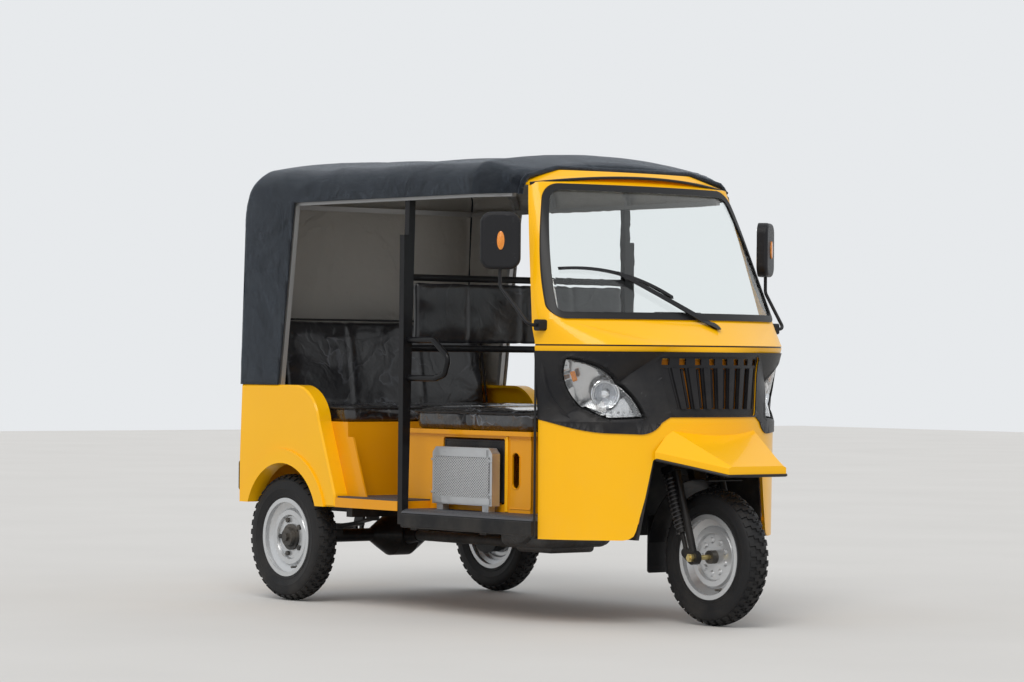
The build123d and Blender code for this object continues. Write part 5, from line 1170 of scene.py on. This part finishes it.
# ------------------------------------------------------------------ canopy
# One sheet of black vinyl-coated canvas with a pale backing, cut to run over the bows, down the rear and round
# its corners, welded along its seams and folded into a hem. It sags a little between the bows.
HEM, SKIRT, REAR_LEAN = 0.912, 1.680, 0.105 / 0.778
FRONT_CORNER, FRONT_LIP, CURTAIN_Y, CAP_Y = -0.51375, -0.47875, 0.92225, 1.03625
HOOD_START, HOOD_FULL = -0.50375, -0.28375
# columns: y, half width, shoulder height, crown height
HOOD = ((HOOD_START, 0.545, 1.742, 1.812), (HOOD_FULL, 0.613, 1.784, 1.856), (1.33625, 0.619, 1.796, 1.880))
BOWS = (-0.444, 0.171, 0.676, 0.938)
CANVAS_T = 0.003


def hood_size(y):
    """Half width, shoulder and crown of the canopy at a place along the vehicle."""
    for (y0, *first), (y1, *second) in zip(HOOD, HOOD[1:]):
        if y <= y1 or y1 == HOOD[-1][0]:
            share = min(max((y - y0) / (y1 - y0), 0), 1)
            return [a + (b - a) * share for a, b in zip(first, second)]


def hood_point(across, y):
    """A place on the canopy's section: across is 0 at a hem, 1 at the skirt, 3 at the crown, 6 at the other hem."""
    half, shoulder, crown = hood_size(y)
    side = -1 if across <= 3 else 1
    along = across if across <= 3 else 6 - across
    if along <= 1:
        x, z = half, HEM + (SKIRT - HEM) * along
    elif along <= 2:
        turn_by = along - 1
        straight = shoulder - 0.060
        if turn_by < 0.25:
            x, z = half, SKIRT + (straight - SKIRT) * turn_by / 0.25
        else:
            bent = (turn_by - 0.25) / 0.75
            angle = bent * radians(68)
            x, z = half - 0.0865 * (1 - cos(angle)) * 1.48, straight + 0.092 * sin(angle) / sin(radians(68))
    else:
        share = along - 2
        x = (half - 0.080) * (1 - share)
        z = crown - (crown - shoulder - 0.032) * (x / (half - 0.080)) ** 2
    return side * x, z


def sag(y, across):
    """How far the canvas hangs down between two bows."""
    along = across if across <= 3 else 6 - across
    if along < 1.6 or y > BOWS[-1] or y < BOWS[0]:
        return 0.0
    for first, second in zip(BOWS, BOWS[1:]):
        if y <= second:
            share = (y - first) / (second - first)
            return 0.011 * sin(pi * share) * min(1.0, (along - 1.6) / 0.8)
    return 0.0


# folds at the front corners. columns: where one starts at the hem, where it dies out, its width and its rise
CORNER_FOLDS = (
    ((0.548, -0.468, 1.722), (0.505, -0.330, 1.838), 0.017, 0.013),
    ((0.560, -0.430, 1.712), (0.560, -0.285, 1.815), 0.022, -0.011),
    ((0.575, -0.400, 1.700), (0.600, -0.150, 1.770), 0.020, 0.007),
    ((0.530, -0.468, 1.740), (0.330, -0.300, 1.850), 0.024, 0.006),
)


def corner_folds(point):
    """How far the folds that run back from the front corners raise or sink the sheet at a place."""
    total = 0.0
    at = Vector((abs(point.x), point.y, point.z))
    for start, end, width, rise in CORNER_FOLDS:
        start, end = Vector(start), Vector(end)
        run = end - start
        share = (at - start).dot(run) / run.length_squared
        if -0.25 < share < 1.0:
            gap = (at - start - run * max(share, 0)).length
            total += rise * (1 - max(share, 0)) ** 0.7 * max(0.0, 1 - (gap / width) ** 2 / 3) ** 3
    return total


def crease(point, reach):
    """The small folds of stretched canvas."""
    wide = noise.noise(Vector((point.x * 3.1, point.y * 2.3, point.z * 3.4)))
    sharp = noise.noise(Vector((point.x * 5.0 + point.z * 7.0, point.y * 9.0 - point.z * 4.0, point.z * 5.0)))
    return reach * (0.7 * wide + 0.5 * (1 - 2 * abs(sharp)))


side_rows = [share / 26 for share in range(0, 27)]
half_across = side_rows + [1.03, 1.07, 1.12, 1.2, 1.28, 1.36, 1.45, 1.55, 1.65, 1.75, 1.85, 1.93, 2.0]
half_across += [2.0 + step / 15 for step in range(1, 16)]
ACROSS = half_across + [6 - place_at for place_at in reversed(half_across[:-1])]
front_rows = [0.0, 0.08, 0.2, 0.35, 0.5, 0.65, 0.82, 1.0]
LONG_STEPS = 30
LONG = [HOOD_FULL + (CURTAIN_Y - HOOD_FULL) * step / LONG_STEPS for step in range(1, LONG_STEPS + 1)]
LONG += [CURTAIN_Y + (CAP_Y - CURTAIN_Y) * step / 5 for step in range(1, 6)]
ROUND_STEPS, WALL_STEPS = 10, 22
# how much of the front rows turns down to the cab, and the row round the rear corner that carries the welt
TURN_SHARE, WELT_STEP = 0.16, 3
# the rear wall's place and lean, and how round its corners are at the hem and at the roof
REAR_Y, REAR_TOP, REAR_SLOPE = 1.2925, 1.638, 0.0400
ROLL_LOW, ROLL_TOP = 0.026, 0.105


def rear_y(z):
    """The rear wall's place: it leans back a little towards its hem."""
    return REAR_Y + (REAR_TOP - z) * REAR_SLOPE


def front_edge(x):
    """The bowed front edge's place along the vehicle."""
    return FRONT_LIP + (FRONT_CORNER - FRONT_LIP) * (x / 0.62) ** 2


def turned_down(x, z):
    """How far the front edge drops from the first bow on to the top of the cab."""
    cab_top = 1.790 - max(abs(x) - 0.36, 0) * 0.26
    return max(z - cab_top, 0) if abs(x) < 0.50 else 0


columns = []
for across in ACROSS:
    side_part = min(across, 6 - across) < 1
    column = []
    for share in front_rows:
        x, z = hood_point(across, HOOD_START + share * (HOOD_FULL - HOOD_START))
        lip = front_edge(x)
        y = lip * (1 - share) + HOOD_FULL * share
        column.append(Vector((x, y, z - turned_down(x, z) * max(1 - share / TURN_SHARE, 0) ** 2)))
    for y in LONG:
        x, z = hood_point(across, y)
        column.append(Vector((x, y, z - sag(y, across))))
    lean_y = CURTAIN_Y + max(SKIRT - column[-1].z, 0) * REAR_LEAN
    if side_part:
        column = [Vector((place_at.x, max(place_at.y, lean_y), place_at.z)) for place_at in column]
    x, z = hood_point(across, CAP_Y)
    height_share = min(max((z - 1.64) / 0.20, 0), 1)
    roll = ROLL_LOW + (ROLL_TOP - ROLL_LOW) * height_share ** 2 * (3 - 2 * height_share)
    for step in range(1, ROUND_STEPS + 1):
        angle = pi / 2 * step / ROUND_STEPS
        drawn_in = roll * (1 - cos(angle))
        inner = Vector((x * (1 - drawn_in / HOOD[-1][1]), HEM + (z - HEM) * (1 - drawn_in / 0.95)))
        start_y = rear_y(max(inner.y, HEM)) - roll
        y = start_y + roll * sin(angle)
        if step == 1:
            column.append(Vector((x, max((CAP_Y + start_y) / 2, lean_y if side_part else 0), z)))
            column.append(Vector((x, start_y, z)))
        column.append(Vector((inner.x, y, max(inner.y, HEM))))
    edge_of_wall = column[-1]
    for step in range(1, WALL_STEPS + 1):
        share = step / WALL_STEPS
        x_now = edge_of_wall.x * (1 - share * 0.75)
        z_now = edge_of_wall.z + (HEM - edge_of_wall.z) * share
        column.append(Vector((x_now, rear_y(z_now), z_now)))
    columns.append(column)

canvas = begin("canopy_canvas", bpy.ops.mesh.primitive_grid_add, x_subdivisions=len(columns) - 1,
               y_subdivisions=len(columns[0]) - 1, size=2)
for number, corner in enumerate(canvas.data.vertices):
    row, column = divmod(number, len(columns))
    corner.co = columns[column][row]
bpy.ops.object.mode_set(mode="EDIT")
curtain_row = len(front_rows) + LONG_STEPS - 1


def in_doorway(face):
    """Faces of the grid that lie over the open sides, ahead of the rear curtain."""
    rows = [corner.index // len(columns) for corner in face.verts]
    places = [corner.index % len(columns) for corner in face.verts]
    outer = min(min(ACROSS[place_at], 6 - ACROSS[place_at]) for place_at in places)
    return outer < 0.999 and max(rows) <= curtain_row


select_where(canvas, "faces", in_doorway)
bpy.ops.mesh.delete(type="FACE")
bpy.ops.mesh.select_all(action="SELECT")
bpy.ops.mesh.remove_doubles(threshold=0.0004)
bpy.ops.mesh.dissolve_degenerate(threshold=0.0004)
face_outward()
bpy.ops.object.mode_set(mode="OBJECT")
crown_face = max(canvas.data.polygons, key=lambda polygon: polygon.center.z)
if crown_face.normal.z < 0:
    canvas.data.flip_normals()
shifts = []
for corner in canvas.data.vertices:
    at = corner.co
    reach = 0.0035 if at.z > 1.70 and at.y < 1.0 else 0.006
    tight = min([abs(at.y - bow) / 0.10 for bow in BOWS] + [1.0])
    push = crease(at, reach) * tight
    if at.z < HEM + 0.028 or (at.z < SKIRT + 0.024 and at.y < CURTAIN_Y):
        push += 0.0018
    shifts.append(corner.normal * (min(max(push, -0.001), 0.005) + corner_folds(at)))
for corner, shift in zip(canvas.data.vertices, shifts):
    corner.co += shift
# The bluish tints of its specular and sheen are painted reflection of a blue sky.
canopy_vinyl, tree, shader = start_finish("canopy_vinyl", (0.006, 0.007, 0.010), 0.32, Specular_IOR_Level=0.20,
                                          Specular_Tint=(0.74, 0.86, 1.0, 1.0), Sheen_Weight=0.22, Sheen_Roughness=0.3,
                                          Sheen_Tint=(0.62, 0.78, 1.0, 1.0))
canvas_backing, back_tree, back_shader = start_finish("canvas_backing", (0.42, 0.40, 0.37), 0.85)
canvas.data.materials.append(canopy_vinyl)
canvas.data.materials.append(canvas_backing)
apply_modifier(canvas, "canvas_wall", "SOLIDIFY", thickness=CANVAS_T, offset=-1, material_offset=1,
               material_offset_rim=0)
backs = [polygon.material_index for polygon in canvas.data.polygons]

here = place(tree, "TexCoord").outputs["Object"]
warp, weft = (place(tree, "TexWave", [("Vector", here), ("Scale", 330.0), ("Distortion", 0.3)],
                    bands_direction=direction).outputs["Fac"] for direction in "XY")
cloth_grain = reckon(tree, "ADD", warp, weft)
emboss(tree, shader, cloth_grain, 0.0004)
emboss(tree, shader, put_effect(tree, film_folds, "Height", Size=1.6, Reach=0.0), 0.006)
pale = place(tree, "TexNoise", [("Vector", here), ("Scale", 3.0), ("Detail", 7), ("Roughness", 0.65)]).outputs["Fac"]
pale = spread(tree, pale, 0.45, 0.85)
lay_over(tree, shader, pale, (0.018, 0.020, 0.023))
tree, shader = back_tree, back_shader
here = place(tree, "TexCoord").outputs["Object"]
stain = place(tree, "TexNoise", [("Vector", here), ("Scale", 2.0), ("Detail", 6)]).outputs["Fac"]
lay_over(tree, shader, stain, (0.34, 0.325, 0.30))
emboss(tree, shader, put_effect(tree, film_folds, "Height", Size=2.0, Reach=0.0), 0.010)
knit = place(tree, "TexVoronoi", [("Vector", here), ("Scale", 500.0)]).outputs["Distance"]
emboss(tree, shader, knit, 0.0006)
hand_over(canvas, canopy_vinyl, "chassis", angle=0)
canvas.data.materials.append(canvas_backing)
for polygon, index in zip(canvas.data.polygons, backs):
    polygon.material_index = min(index, 1)
bpy.ops.object.shade_smooth()
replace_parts(canvas, "canopy")
bow_zinc = make_finish("bow_zinc", (0.34, 0.34, 0.34), 0.45, (scuffed, 14, 0.5, (0.20, 0.20, 0.20)),
                       (sprayed, 20, 400, 0.001), Metallic=0.5)
cover(bow_zinc, "canopy_bows")

# the padded roll along the canopy's front edge, and the welted seam round its rear corners
front_roll = []
for across in [1.0 + step / 8 for step in range(0, 33)]:
    x, z = hood_point(across, HOOD_START)
    lip = front_edge(x)
    front_roll.append((x, lip + 0.004, z - turned_down(x, z) - 0.004))
hand_over(edging("canopy_front_roll", front_roll, 0.0115, sides=10), canopy_vinyl, "chassis")
welt = []
for column in columns[::2]:
    welt.append(tuple(column[len(front_rows) + len(LONG) + 2 + WELT_STEP]))
hand_over(edging("canopy_welt", welt, 0.0040), canopy_vinyl, "chassis")
